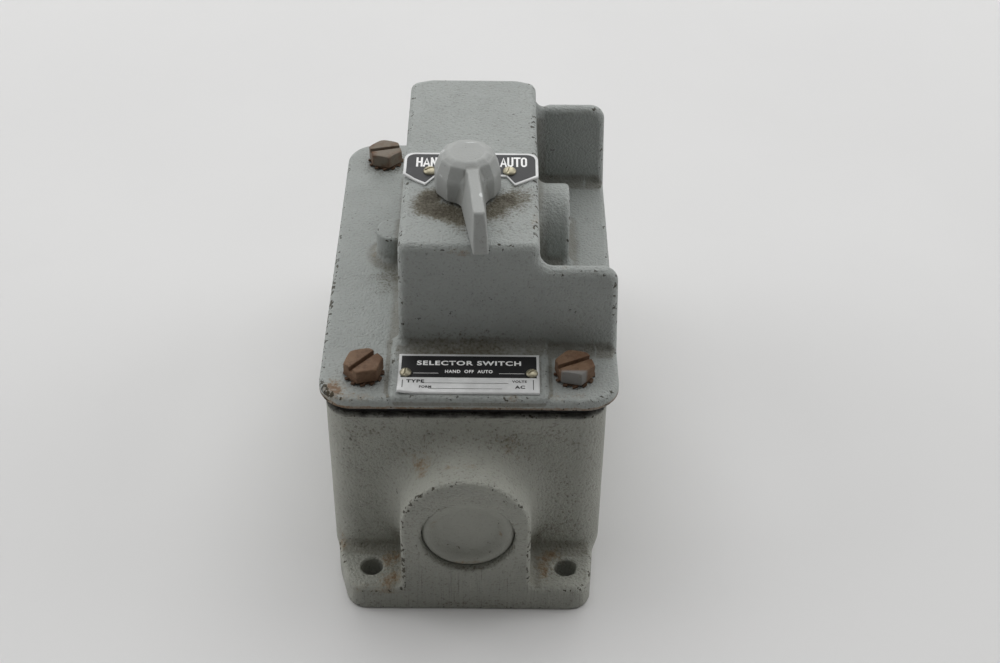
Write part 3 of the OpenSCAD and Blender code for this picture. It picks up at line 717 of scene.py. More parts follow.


# Colours of stains, rust, dust and bare or painted metal. The soil colours also paint shade, and the
# gap black paints the shade in the gap under the cover.
RUST = (0.195, 0.105, 0.045, 1.0)
DARK_RUST = (0.045, 0.022, 0.013, 1.0)
DEEP_RUST, BROWN_RUST, PALE_RUST = (0.105, 0.056, 0.032), (0.160, 0.084, 0.044), (0.235, 0.146, 0.088)
SOIL_AND_SHADE = (0.105, 0.090, 0.054, 1.0)
DEEP_SOIL_AND_SHADE = (0.040, 0.030, 0.016, 1.0)
TAN = (0.260, 0.190, 0.105, 1.0)
GAP_SHADE_BLACK = (0.020, 0.018, 0.015, 1.0)
BARE_METAL = (0.68, 0.70, 0.70, 1.0)
SPLASHED_PAINT, OLD_PAINT = (0.24, 0.245, 0.24, 1.0), (0.20, 0.185, 0.155, 1.0)
DUST = (0.30, 0.28, 0.25, 1.0)


def enamel_finish(name, colour, grain, worn=1.0, grime_and_shade=0.5, ground=False):
    """Sprayed enamel on a sand casting: mottled colour, a pitted sandy skin, chipped edges,
    lighter rubbed edges that are partly painted highlight, and grime with painted shade in
    hollows. Brown stains and painted shade go where the piece's marks say, and a painted
    black shade line goes in the gap under the cover. Ground adds the upright grinding lines at
    the foot of the front hub."""
    p = Paint(name)
    slow = p.noise(26, 3, 0.6)
    mid = p.noise(190, 4, 0.6, shift=(0.3, 0.7, 0.1))
    fine = p.noise(900, 3, 0.65, shift=(0.9, 0.2, 0.5))
    speck = p.noise(760, 2, 0.5, shift=(0.15, 0.45, 0.8))
    skin = p.noise(1150, 2, 0.6, shift=(0.05, 0.6, 0.35))
    edge, hollow, wear = p.mark("edge"), p.mark("hollow"), p.mark("wear")
    soil_and_shade, rust, dark = p.mark("soil_and_shade"), p.mark("rust"), p.mark("dark")
    base = p.mix(slow.ramp(0.3, 0.72), tint(colour, 0.94), tint(colour, 1.07))
    base = p.mix(mid.ramp(0.45, 0.8) * 0.35, base, tint(colour, 0.84))
    base = p.mix(skin.ramp(0.46, 0.30) * 0.30 * grain, base, tint(SOIL_AND_SHADE, 0.9))
    # Grime and painted shade in hollows: the hollow mark says how closed in a point lies, so this
    # darkens where shade falls as well as where grime gathers.
    hollow_grime_and_shade = (hollow.ramp(0.1, 0.95) * (mid + 0.22)).ramp(0.10, 0.75) * grime_and_shade
    base = p.mix(hollow_grime_and_shade, base, SOIL_AND_SHADE)
    # Stains from the soil mark, which holds real soil and also patches of painted shade.
    stain_and_shade = (soil_and_shade * 1.5 + (mid - 0.5) * 0.9 + (0.5 - skin) * 1.5 + (slow - 0.5) * 0.5).ramp(0.30, 1.25)
    stain_and_shade = stain_and_shade * soil_and_shade.ramp(0.02, 0.2)
    base = p.mix(stain_and_shade * 0.86, base, SOIL_AND_SHADE)
    deep = (soil_and_shade + (0.5 - skin) * 1.2 + (mid - 0.5) * 0.8).ramp(0.66, 1.25)
    base = p.mix(deep * 0.8, base, DEEP_SOIL_AND_SHADE)
    rusty = (rust * 1.3 + (mid - 0.5) * 1.3 + (fine - 0.5) * 1.2).ramp(0.28, 1.0) * rust.ramp(0.02, 0.2)
    base = p.mix(rusty * 0.85, base, p.mix(rusty.ramp(0.5, 1.0), TAN, RUST))
    # Painted black shade in the gap under the cover, where the dark mark says.
    base = p.mix(dark * 0.95, base, GAP_SHADE_BLACK)
    pits = speck.ramp(0.675, 0.70) * mid.ramp(0.52, 0.62)
    chips = edge.ramp(0.08, 0.7) * (speck * 0.74 + mid * 0.62) * (wear * 0.17 + worn)
    chips = chips.ramp(0.775, 0.83)
    flaw = p.node("ShaderNodeMath", {"operation": "MAXIMUM"}, {0: pits * 0.75, 1: chips})
    base = p.mix(flaw * 0.88, base, p.mix(fine.ramp(0.4, 0.6), tint(SOIL_AND_SHADE, 0.25), tint(SOIL_AND_SHADE, 0.6)))
    # Lighter rubbed edges: partly worn paint, partly a painted highlight along the edges.
    edge_scuff_and_highlight = (edge.ramp(0.3, 0.9) * mid.ramp(0.40, 0.62)) * 0.35
    base = p.mix(edge_scuff_and_highlight * (1 - flaw), base, tint(colour, 1.4))
    scrape = (p.mark("scrape") * (fine + mid * 0.6)).ramp(0.30, 0.5)
    base = p.mix(scrape * 0.85, base, BARE_METAL)
    height = skin * 0.8 + fine * 0.15 + mid * 0.5 - flaw * 0.2
    if ground:
        low = p.axis("Z").ramp(0.030, 0.012) * p.axis("Y").ramp(-0.0880, -0.0896)
        lines = p.noise(330, 4, 0.8, stretch=(5.0, 1.0, 0.14))
        base = p.mix(low * lines.ramp(0.54, 0.70) * 0.5, base, tint(SOIL_AND_SHADE, 0.6))
        base = p.mix(low * lines.ramp(0.46, 0.32) * 0.3, base, tint(colour, 1.35))
        height = height + low * lines * 0.9
    rough = 0.44 + fine * 0.16 + stain_and_shade * 0.2 + rusty * 0.2 + flaw * 0.15
    return p.finish(Base_Color=base, Roughness=rough, Specular_IOR_Level=0.45,
                    Normal=p.bump(height, 0.0011 * grain, 0.85))


def rust_finish(name, bright, painted=False):
    """Plated steel gone to brown rust, paler where it is rubbed. Painted bolts keep some old
    paint on the front right and back left heads."""
    p = Paint(name)
    slow = p.noise(150, 3, 0.6)
    mid = p.noise(600, 4, 0.65, shift=(0.4, 0.1, 0.6))
    fine = p.noise(2200, 3, 0.6, shift=(0.7, 0.7, 0.2))
    base = p.mix(slow.ramp(0.35, 0.65), tint(BROWN_RUST, bright), tint(PALE_RUST, bright))
    base = p.mix(mid.ramp(0.48, 0.72) * 0.7, base, tint(DEEP_RUST, bright))
    base = p.mix(fine.ramp(0.6, 0.75) * 0.5, base, DARK_RUST)
    if painted:
        side = p.axis("X").ramp(0.020, 0.024) * p.axis("Y").ramp(-0.0640, -0.0652)
        base = p.mix(side * mid.ramp(0.25, 0.4) * 0.85, base, SPLASHED_PAINT)
        back = p.axis("X").ramp(-0.020, -0.024) * p.axis("Y").ramp(0.050, 0.052)
        base = p.mix(back * slow.ramp(0.35, 0.6) * 0.75, base, OLD_PAINT)
    return p.finish(Base_Color=base, Roughness=0.62 + fine * 0.22, Metallic=0.15,
                    Normal=p.bump(mid * 0.6 + fine * 0.4, 0.00018, 0.8))


def metal_finish(name, colour, rough, dull, metallic=0.95, brushed=(1.0, 1.0, 1.0)):
    """Turned or rolled metal with a fine grain, handling marks and dull patches."""
    p = Paint(name)
    slow = p.noise(90, 3, 0.6)
    grain = p.noise(900, 4, 0.6, stretch=brushed, shift=(0.2, 0.8, 0.4))
    base = p.mix(slow.ramp(0.35, 0.7), tint(colour, 0.86), tint(colour, 1.08))
    base = p.mix(grain.ramp(0.52, 0.8) * dull, base, tint(colour, 0.55))
    return p.finish(Base_Color=base, Roughness=rough + grain * 0.2 + slow * 0.08,
                    Metallic=metallic, Normal=p.bump(grain, 0.00006, 0.5))


def moulded_finish(name, colour, rough, dust):
    """Moulded plastic or rubber with faint flow marks, a fine skin and settled dust."""
    p = Paint(name)
    slow = p.noise(60, 3, 0.6)
    grain = p.noise(1400, 3, 0.6, shift=(0.6, 0.1, 0.9))
    base = p.mix(slow.ramp(0.3, 0.7), tint(colour, 0.85), tint(colour, 1.15))
    base = p.mix(grain.ramp(0.55, 0.8) * dust, base, DUST)
    return p.finish(Base_Color=base, Roughness=rough + grain * 0.15,
                    Normal=p.bump(grain, 0.00005, 0.5))


def ink_finish(name, colour, rough, rubbed, under=(0.45, 0.45, 0.44)):
    """Baked ink on a metal plate, rubbed thin in small spots and hazed by handling."""
    p = Paint(name)
    haze = p.noise(120, 4, 0.6)
    spots = p.noise(1500, 3, 0.55, shift=(0.3, 0.9, 0.1))
    base = p.mix(haze.ramp(0.35, 0.75), tint(colour, 0.9), tint(colour, 1.15))
    base = p.mix(spots.ramp(0.70, 0.78) * rubbed, base, tint(under))
    return p.finish(Base_Color=base, Roughness=rough + haze * 0.15,
                    Specular_IOR_Level=0.32, Normal=p.bump(spots, 0.00003, 0.35))


# ---- settings a user would change ----

class StationColours(bpy.types.PropertyGroup):
    """Paint and ink colours."""
    enamel: FloatVectorProperty(
        name="Enamel", description="Machine enamel on the castings", subtype="COLOR",
        size=3, min=0, max=1, default=(0.352, 0.374, 0.362))
    base_enamel: FloatVectorProperty(
        name="Base enamel", description="Yellowed enamel on the base", subtype="COLOR",
        size=3, min=0, max=1, default=(0.364, 0.370, 0.330))
    knob: FloatVectorProperty(
        name="Knob enamel", description="Paint on the lever knob", subtype="COLOR",
        size=3, min=0, max=1, default=(0.350, 0.362, 0.352))
    legend_ink: FloatVectorProperty(
        name="Legend ink", description="Dark field of the legend plate", subtype="COLOR",
        size=3, min=0, max=1, default=(0.030, 0.031, 0.034))
    name_ink: FloatVectorProperty(
        name="Nameplate ink", description="Dark band of the nameplate", subtype="COLOR",
        size=3, min=0, max=1, default=(0.014, 0.014, 0.015))
    floor: FloatVectorProperty(
        name="Floor", description="Plain pale floor", subtype="COLOR",
        size=3, min=0, max=1, default=(0.775, 0.775, 0.775))


class StationSizes(bpy.types.PropertyGroup):
    """Mesh spacing and plate details."""
    casting_step: FloatProperty(
        name="Casting grid", description="Grid step of the two castings",
        default=0.00112, min=0.0008, max=0.003, subtype="DISTANCE", unit="LENGTH")
    knob_step: FloatProperty(
        name="Knob grid", description="Grid step of the knob",
        default=0.00034, min=0.0002, max=0.001, subtype="DISTANCE", unit="LENGTH")
    screw_step: FloatProperty(
        name="Screw grid", description="Grid step of the small screws",
        default=0.00012, min=0.00008, max=0.0004, subtype="DISTANCE", unit="LENGTH")
    border: FloatProperty(
        name="Plate border", description="Bright border of the legend plate",
        default=0.0009, min=0.0003, max=0.002, subtype="DISTANCE", unit="LENGTH")
    band_word: StringProperty(
        name="Nameplate word", description="Generic words on the nameplate's dark band",
        default="SELECTOR SWITCH")


def colours():
    """The scene's paint and ink colours."""
    return bpy.context.scene.station_colours


def sizes():
    """The scene's mesh spacing and plate details."""
    return bpy.context.scene.station_sizes


def mount(piece, body, slot, material, *nodes):
    """Gives a piece its finish and body, and hides the CAD nodes it stands for. The slot is not used.
    """
    piece.data.materials.clear()
    piece.data.materials.append(material)
    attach(piece, body)
    if nodes:
        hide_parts(*nodes)
    return piece


# ---- marks: soft patches as a centre, three radii and a strength, in millimetres ----

# Soil on the base, and painted shade: the four patches low on the front wall and on the feet in front
# of it darken the corner between them as shade.
BASE_SOIL_AND_SHADE = (
    ((-33, -73, 50), (9, 6, 16), 0.16), ((33, -73, 44), (9, 6, 18), 0.2),
    ((30, -73, 18), (10, 6, 9), 0.28), ((-30, -73, 18), (10, 6, 9), 0.22),
    ((27, -80, 9.5), (6, 7, 3), 0.3), ((-26, -80, 9.5), (5, 7, 3), 0.3),
    ((0, -90.7, 2), (44, 3, 4), 0.35), ((26, -73, 62), (10, 3, 4), 0.42),
    ((-30, -73, 63), (16, 4, 6), 0.28), ((10, -73, 58), (12, 4, 4), 0.12),
    ((30, 76, 10), (10, 8, 7), 0.6), ((-30, 76, 10), (10, 8, 7), 0.6))
BASE_RUST = (
    ((-14.5, -78, 53.5), (6, 6, 3), 0.5), ((-4, -83, 58.4), (8, 2.0, 1.5), 0.42),
    ((14, -78, 58), (6, 5, 4), 0.3),
    ((26.5, -76, 9.8), (6, 4, 4), 0.62), ((-26, -78, 9.8), (4, 4.5, 4), 0.72),
    ((-25, -86, 9.5), (4, 3, 3), 0.5), ((25, -84, 9.5), (2.5, 5, 3), 0.5),
    ((-27, -89.5, 8.5), (5, 3, 2), 0.55), ((-36, -89, 8), (4, 3, 2.5), 0.5),
    ((-43, -71, 10), (3, 5, 6), 0.4), ((-45, -68, 40), (2, 5, 22), 0.22),
    ((26, 82, 9.5), (6, 5, 4), 0.7), ((-26, 82, 9.5), (6, 5, 4), 0.7),
    ((0, 90, 34), (17, 3, 17), 0.35))
BASE_WEAR = (
    ((-17, -90.7, 50), (8, 3, 8), 1.0), ((-21.5, -90.7, 20), (2, 3, 16), 0.9),
    ((-45, -68, 30), (3, 5, 30), 1.0), ((-36, -90, 6), (8, 4, 6), 0.8),
    ((21, -90.7, 30), (2, 3, 18), 0.5), ((38, -76, 10), (4, 6, 6), 0.7))
COVER_TOP_SOIL = (
    ((-15, -25, 118), (5, 6, 6), 0.75), ((-8.5, -29, 118), (7.5, 4.5, 6), 1.0),
    ((-5, -32, 118), (6, 3.5, 6), 0.6), ((-12, -20, 118), (4, 4, 6), 0.8),
    ((10.5, -23, 118), (3.5, 4, 6), 1.0), ((6.5, -28.5, 118), (4, 4, 6), 1.0),
    ((16.5, -21, 118), (6, 8, 6), 0.55), ((9, -35, 118), (10, 7, 6), 0.36),
    ((-3, -37, 118), (5, 5, 6), 0.45), ((2.5, -46, 118), (4, 3, 4), 0.4))
# Soil on the cover, and painted shade: the first and the seventh patch darken the corner where the
# housing's front meets the plate as shade.
COVER_SOIL_AND_SHADE = (
    ((0, -50, 80), (26, 4, 7), 0.42), ((-29, -12, 77), (6, 9, 3), 0.45),
    ((-33, -60, 77), (9, 8, 2), 0.32), ((33, -60, 77), (9, 8, 2), 0.3),
    ((-33, 60, 77), (9, 9, 2), 0.6), ((33, 60, 77), (9, 9, 2), 0.5),
    ((0, -54, 78), (28, 5, 2), 0.3), ((40, -46, 77), (6, 4, 5), 0.3),
    ((23, 30, 77), (3, 14, 8), 0.4))
COVER_RUST = (
    ((-42, -67, 76.5), (4.5, 5, 3), 0.75), ((-31, 3, 77.5), (4, 5, 2), 0.5),
    ((-3, -48.6, 116), (4, 3, 2.5), 0.5), ((30, -45, 108.5), (3, 3, 2), 0.4),
    ((14, -71, 77), (2.5, 3, 2), 0.6), ((-8, -71, 77), (5, 2, 2), 0.35),
    ((31, -70, 77.5), (7, 2.5, 2), 0.5), ((21, -32, 118), (2.5, 6, 2), 0.5),
    ((-33, -71, 76.5), (8, 2, 2), 0.45), ((-26, -59, 77.5), (2, 2.5, 2), 0.4),
    ((27, -58, 77.5), (2, 2.5, 2), 0.4))
COVER_WEAR = (
    ((-44, -66, 76), (6, 8, 4), 0.9), ((-47, -20, 76), (3, 50, 4), 0.5),
    ((21.5, -20, 116), (2, 30, 4), 0.6), ((46, -40, 100), (3, 6, 12), 0.5))
# Painted shade on the knob: low on its front, just over the housing, and on the lever's end face.
KNOB_SHADE = (
    ((-1, -26, 119), (12, 5, 2.0), 0.35), ((3.5, -51, 123), (5, 5, 8), 0.24))
KNOB_SCRAPES = (
    ((-8.6, -15.2, 130.6), (1.7, 1.6, 1.3), 0.9), ((-0.6, -11.0, 132.0), (3.2, 0.5, 0.6), 0.62),
    ((3.4, -38.0, 130.5), (0.9, 1.6, 1.0), 0.8), ((-9.8, -22.4, 126.8), (1.3, 1.2, 0.8), 0.75),
    ((7.8, -20.8, 130.0), (1.0, 1.0, 0.9), 0.65), ((-10.6, -17, 126), (0.8, 2.0, 3), 0.5),
    ((6.2, -14.0, 132), (1.6, 0.8, 0.6), 0.6))
PLUG_RUST = (
    ((-1.5, -88.5, 34.5), (0.8, 3, 0.8), 1.0), ((10.2, -88.5, 32.5), (1.1, 3, 1.6), 0.9),
    ((-11, -88.5, 37), (2.5, 3, 3), 0.4), ((0, -89.5, 20.4), (9, 3, 1.2), 0.5))

# Distance over which a casting's bend is measured, and how far a hollow's grime and painted shade reach
CAST_SPAN, CAST_REACH = 1.3, 6.0
KNOB_SPAN, KNOB_REACH = 0.6, 3.0


# ---- operators ----

class STATION_OT_base(bpy.types.Operator):
    """Cast base with its conduit hubs and feet"""
    bl_idname = "station.base"
    bl_label = "Base casting"

    def execute(self, context):
        step = sizes().casting_step / MM
        half = FOOT_L / 2
        axes = (steps(-47.2, 46.0, step), steps(-half - 1.1, half + 1.1, step),
                steps(-1.1, RIM_Z + 1.2, step,
                      ((-1.1, 2.0, step * 0.7), (RIM_Z - 2, RIM_Z + 2, step * 0.7))))
        points, faces, normals, marks = cast_surface(base_field, axes, step, 0.06,
                                                     CAST_SPAN, CAST_REACH)
        self.weather(points, marks)
        made = make_mesh("cast_base", points, faces, normals, marks)
        paint = enamel_finish("base_enamel", colours().base_enamel, 1.15, grime_and_shade=0.34, ground=True)
        mount(made, "enclosure", "cast_enamel", paint, "base")
        return {"FINISHED"}

    def weather(self, points, marks):
        """Grime over the hub arch, grime and painted shade just inside the front of the bore, soil
        patches of which some are painted shade in the corner of wall and feet, rust, rubbed corners
        and a painted black shade line in the gap under the cover. The mouths of the bore and the
        foot holes stay plain."""
        x, y, z = points.T
        half = FOOT_L / 2
        from_hub = np.hypot(x - BASE_SHIFT, np.maximum(z - HUB_ARCH_Z, 0))
        from_bore = np.hypot(x, z - BORE_Z)
        from_hole = from_four(x, y, FOOT_HOLE_X, FOOT_HOLE_Y)
        over_arch = np.exp(-((from_hub - 25.2) / 3.6) ** 2) * ease(np.abs(y), 84, 74) * ease(z, 42, 54)
        # Grime and painted shade on the bore's wall just inside its front mouth, round the plug.
        recess_grime_and_shade = ease(from_bore, BORE_R + 0.2, BORE_R) * ease(np.abs(y), half - 3, half - 0.8)
        marks["soil_and_shade"] = clip01(over_arch * 0.19 + recess_grime_and_shade * 0.5 + patches(points, BASE_SOIL_AND_SHADE))
        marks["rust"] = clip01(over_arch * 0.14 + patches(points, BASE_RUST))
        marks["wear"] = patches(points, BASE_WEAR)
        # A painted black shade line along the top of the walls, in the gap under the cover.
        marks["dark"] = clip01(ease(z, RIM_Z - 1.5, RIM_Z - 0.5) * (0.9 + 0.1 * np.sin(x * 0.9)))
        marks["edge"] = (marks["edge"] * ease(np.abs(from_bore - BORE_R), 0.6, 2.0)
                         * ease(from_hole, FOOT_HOLE_R + 0.8, FOOT_HOLE_R + 2))
        marks["hollow"] = marks["hollow"] * ease(from_hole, FOOT_HOLE_R + 0.4, FOOT_HOLE_R + 1.4)


class STATION_OT_cover(bpy.types.Operator):
    """Cast cover with the operator housing and guard walls"""
    bl_idname = "station.cover"
    bl_label = "Cover casting"

    def execute(self, context):
        step = sizes().casting_step / MM * 0.93
        half_w, half_l = COVER_W / 2 + 1.1, COVER_L / 2 + 1.1
        axes = (steps(-half_w, half_w, step), steps(-half_l, half_l, step),
                steps(PLATE_Z - 1.1, HOUSING_TOP + 1.1, step,
                      ((PLATE_Z - 1.1, 79, 0.62), (HOUSING_TOP - 3, HOUSING_TOP + 2, 0.7))))
        points, faces, normals, marks = cast_surface(cover_field, axes, step, 0.06,
                                                     CAST_SPAN, CAST_REACH)
        x, y, z = points.T
        on_top = ease(z, HOUSING_TOP - 1.2, HOUSING_TOP - 0.4)
        rim = ease(rounded_outline(x, y, COVER_W / 2, COVER_L / 2, COVER_CORNER), -0.9, -0.35)
        low_edge = rim * ease(z, PLATE_Z + 2.0, PLATE_Z + 0.6) * ease(-y, 50, 66)
        marks["soil_and_shade"] = clip01(patches(points, COVER_TOP_SOIL) * on_top + patches(points, COVER_SOIL_AND_SHADE))
        marks["rust"] = clip01(low_edge * 0.85 + patches(points, COVER_RUST))
        marks["wear"] = patches(points, COVER_WEAR)
        made = make_mesh("cast_cover", points, faces, normals, marks)
        paint = enamel_finish("cover_enamel", colours().enamel, 0.8)
        mount(made, "enclosure", "cast_enamel", paint, "cover")
        return {"FINISHED"}


class STATION_OT_knob(bpy.types.Operator):
    """Lever knob"""
    bl_idname = "station.knob"
    bl_label = "Lever knob"

    def execute(self, context):
        step = sizes().knob_step / MM
        axes = [steps(low - 1.7, high + 1.7, step) for low, high in zip(KNOB_LOW, KNOB_HIGH)]
        points, faces, normals, marks = cast_surface(knob_field, axes, step, 0.03,
                                                     KNOB_SPAN, KNOB_REACH)
        # Painted shade on the knob, stored in the soil mark.
        marks["soil_and_shade"] = patches(points, KNOB_SHADE)
        marks["scrape"] = patches(points, KNOB_SCRAPES)
        made = make_mesh("lever_knob", points, faces, normals, marks)
        paint = enamel_finish("knob_paint", colours().knob, 0.12, worn=0.85, grime_and_shade=0.15)
        mount(made, "selector", "knob_enamel", paint, "selector_knob")
        return {"FINISHED"}


# Sides across and along, then the turns of the hexagon and of the slot in degrees
BOLT_TURNS = ((-1, -1, 14, 49), (1, -1, -12, 26), (-1, 1, -15, 14), (1, 1, 5, 65))


class STATION_OT_bolts(bpy.types.Operator):
    """Slotted cover bolts and their star washers"""
    bl_idname = "station.bolts"
    bl_label = "Cover bolts and washers"

    def execute(self, context):
        head_z = WASHER_HIGH[2]
        fields, boxes, rings, ring_boxes = [], [], [], []
        for sx, sy, hex_turn, slot_turn in BOLT_TURNS:
            place = np.array([sx * BOLT_X, sy * BOLT_Y, head_z])
            fields.append(bolt_field(hex_turn, slot_turn, place))
            boxes.append((place - [7, 7, 25.2], place + [7, 7, 5.4]))
            washer = place - [0, 0, head_z - WASHER_LOW[2]]
            rings.append(washer_field(washer))
            ring_boxes.append((washer - [7.6, 7.6, 0.5], washer + [7.6, 7.6, 1.5]))
        bolts = net_object("hex_cover_bolts", fields, 0.3, boxes)
        mount(bolts, "enclosure", "rusty_steel", rust_finish("bolt_rust", 0.86, True), "cover_bolts")
        teeth = net_object("star_washers", rings, 0.19, ring_boxes)
        mount(teeth, "enclosure", "rusty_steel", rust_finish("washer_rust", 0.62), "lock_washers")
        return {"FINISHED"}


def corner_drop(edge, reach):
    """How far a rounded corner cuts in at each distance from the edge."""
    inside = np.clip(reach - edge, 0, reach)
    return reach - np.sqrt(np.maximum(reach ** 2 - inside ** 2, 0))


# Lower edge of the legend plate: places across and heights, in millimetres
LEGEND_EDGE_X = (-22.2, -14.9, -11.6, 11.4, 14.1, 21.7)
LEGEND_EDGE_Y = (-10.4, -15.5, -10.6, -10.6, -15.5, -10.4)


def legend_outline(inset):
    """Columns of the legend plate: x, its lower outline and its upper outline. The lower
    one follows the two tabs and the round bite for the shaft."""
    left, right = LEGEND_LOW[0] + inset, LEGEND_HIGH[0] - inset
    slope = inset * 0.36
    tabs = np.array([-14.9, 14.1, -11.6 + slope, 11.4 - slope])
    xs = np.concatenate([np.linspace(left, left + 3.5, 12), np.linspace(left + 3.9, right - 3.9, 86),
                         np.linspace(right - 3.5, right, 12)])
    xs = np.unique(np.concatenate([xs, tabs]))
    lower = np.interp(xs, LEGEND_EDGE_X, LEGEND_EDGE_Y) + inset * 1.3
    bite = (6.7 + inset) ** 2 - (xs - SHAFT_X) ** 2
    lower = np.maximum(lower, np.where(bite > 0, SHAFT_Y + np.sqrt(np.maximum(bite, 0)), -99))
    drop = corner_drop(np.minimum(xs - left, right - xs), 3.5 - inset * 0.6)
    return xs, lower, LEGEND_HIGH[1] - inset - drop


def legend_height(x, y):
    """Height of the legend plate's face, with its lower left corner lifted a little."""
    return LEGEND_FACE + np.clip(-18.5 - x, 0, 4) * np.clip(-6.0 - y, 0, 6) * 0.05


def name_height(x, y):
    """Height of the nameplate's face, with its lower left corner bent up."""
    return NAME_FACE + np.clip(-17.5 - x, 0, 6) * np.clip(-66.5 - y, 0, 6) * 0.045


# Heights of the ink and the letters over a plate's face
INK, LETTER = 0.03, 0.06


def above(height, lift):
    """A height function raised by a lift, for ink and letters that lie on a plate."""
    return lambda x, y: height(x, y) + lift


class STATION_OT_plates(bpy.types.Operator):
    """Legend plate and nameplate with their lettering"""
    bl_idname = "station.plates"
    bl_label = "Legend plate and nameplate"

    def execute(self, context):
        bare = metal_finish("plate_aluminium_bare", (0.74, 0.75, 0.75), 0.45, 0.10, 0.15,
                            (3.0, 0.3, 1.0))
        white = ink_finish("plate_white", (0.97, 0.98, 0.97), 0.5, 0.08, (0.3, 0.3, 0.3))
        self.legend(bare, white)
        self.nameplate(bare, white)
        return {"FINISHED"}

    def legend(self, bare, white):
        """The legend plate: bright border, dark field and the three positions in bold."""
        border = sizes().border / MM
        plate = sheet_between("legend_sheet", *legend_outline(0.0), legend_height, 24)
        self.thicken(plate, 0.6)
        mount(plate, "enclosure", "legend_enamel", bare, "legend_plate")
        field = sheet_between("legend_field", *legend_outline(border), above(legend_height, INK), 24)
        ink = ink_finish("legend_ink", colours().legend_ink, 0.42, 0.3)
        mount(field, "enclosure", "legend_enamel", ink)
        words = (("HAND", -13.6, -2.6, 5.7, 9.2), ("AUTO", 13.6, -2.3, 5.7, 8.9),
                 ("OFF", -0.2, -2.4, 5.7, 6.4))
        letters = lettering("legend_letters", words, above(legend_height, LETTER), True)
        mount(letters, "enclosure", "legend_enamel", white)

    def nameplate(self, bare, white):
        """The nameplate: a dark band with a title over a bright strip with blank lines."""
        (left, front), (right, back) = NAME_LOW[:2], NAME_HIGH[:2]
        middle, split = (left + right) / 2, front + 7.0
        plate = self.strip("name_sheet", left, right, front, back, 70, 30, name_height)
        self.thicken(plate, 0.8)
        mount(plate, "enclosure", "plate_aluminium", bare, "nameplate")
        band = self.strip("name_band", left + 0.9, right - 0.9, split, back - 0.9, 60, 12,
                          above(name_height, INK))
        ink = ink_finish("name_ink", colours().name_ink, 0.45, 0.4)
        mount(band, "enclosure", "plate_aluminium", ink)
        face = above(name_height, LETTER)
        words = ((sizes().band_word, middle, back - 4.3, 2.2, 33.0),
                 ("HAND  OFF  AUTO", middle, back - 8.3, 1.5, 15.0),
                 (None, middle - 13.5, back - 9.2, 8, 0.16),
                 (None, middle + 13.5, back - 9.2, 8, 0.16))
        mount(lettering("name_letters", words, face), "enclosure", "plate_aluminium", white)
        words = (("TYPE", left + 5.6, split - 1.8, 1.5, 5.6),
                 (None, middle - 1, split - 2.6, 27, 0.14),
                 ("VOLTS", right - 6.4, split - 1.7, 1.1, 4.6),
                 ("AC", right - 6.2, split - 4.3, 1.5, 3.2),
                 ("FORM", left + 8.8, split - 4.4, 1.1, 3.8),
                 (None, middle - 1, split - 5.2, 23, 0.14),
                 (None, right - 2.0, split - 3.2, 0.22, 4.6),
                 (None, left + 1.6, split - 3.2, 0.22, 4.0))
        printed = ink_finish("name_print", (0.03, 0.03, 0.03), 0.5, 0.4)
        mount(lettering("name_print", words, face), "enclosure", "plate_aluminium", printed)

    def strip(self, name, left, right, front, back, columns, rows, height):
        """A rectangular sheet."""
        xs = np.linspace(left, right, columns)
        return sheet_between(name, xs, np.full(columns, front), np.full(columns, back), height, rows)

    def thicken(self, piece, amount):
        """Gives a sheet its thickness downwards."""
        solid = piece.modifiers.new("Thickness", "SOLIDIFY")
        solid.thickness = amount * MM
        solid.offset = -1.0


class STATION_OT_small_screws(bpy.types.Operator):
    """Screws of the legend plate and nameplate"""
    bl_idname = "station.small_screws"
    bl_label = "Plate screws"

    def execute(self, context):
        brass = metal_finish("screw_brass", (0.54, 0.50, 0.37), 0.30, 0.7, 0.85)
        step = sizes().screw_step / MM
        rows = (("legend_round_screws", "legend_screws", LEGEND_FACE, 2.2, 1.5, 1.2, 4.0,
                 ((-13.5, -8.0, 20), (12.3, -7.8, 75))),
                ("name_round_screws", "nameplate_screws", NAME_FACE, 1.9, 1.3, 1.1, 4.5,
                 ((-20.0, -61.9, 80), (19.8, -61.9, 40))))
        for name, node, z, head_r, head_h, shank_r, shank_l, places in rows:
            fields, boxes = [], []
            for x, y, turn in places:
                place = np.array([x, y, z])
                fields.append(screw_field(place, head_r, head_h, shank_r, shank_l, turn))
                boxes.append((place - [head_r + 0.4, head_r + 0.4, shank_l + 0.4],
                              place + [head_r + 0.4, head_r + 0.4, head_h + 0.4]))
            made = net_object(name, fields, step, boxes)
            mount(made, "enclosure", "brass", brass, node)
        return {"FINISHED"}


# Closing plug: radius and depth below the hub's face, from the middle outwards and back
PLUG_FRONT = ((0.0, 4.9), (3.0, 4.9), (6.8, 4.85), (8.8, 4.7), (10.2, 4.1), (11.6, 3.15),
              (12.9, 2.4), (14.1, 2.2), (14.74, 2.7), (14.85, 3.8))
PLUG_BACK = ((14.86, 9.8), (14.2, 10.1), (13.9, 9.6), (13.6, 6.4), (12.4, 5.6), (8.0, 6.2),
             (0.0, 6.4))
# Conduit thread: pitch, depth, and where it starts and ends along Y
THREAD_PITCH, THREAD_DEPTH, THREAD_START, THREAD_END = 2.21, 0.75, 66.6, 90.2
THREAD_ROWS, THREAD_COLUMNS = 240, 72


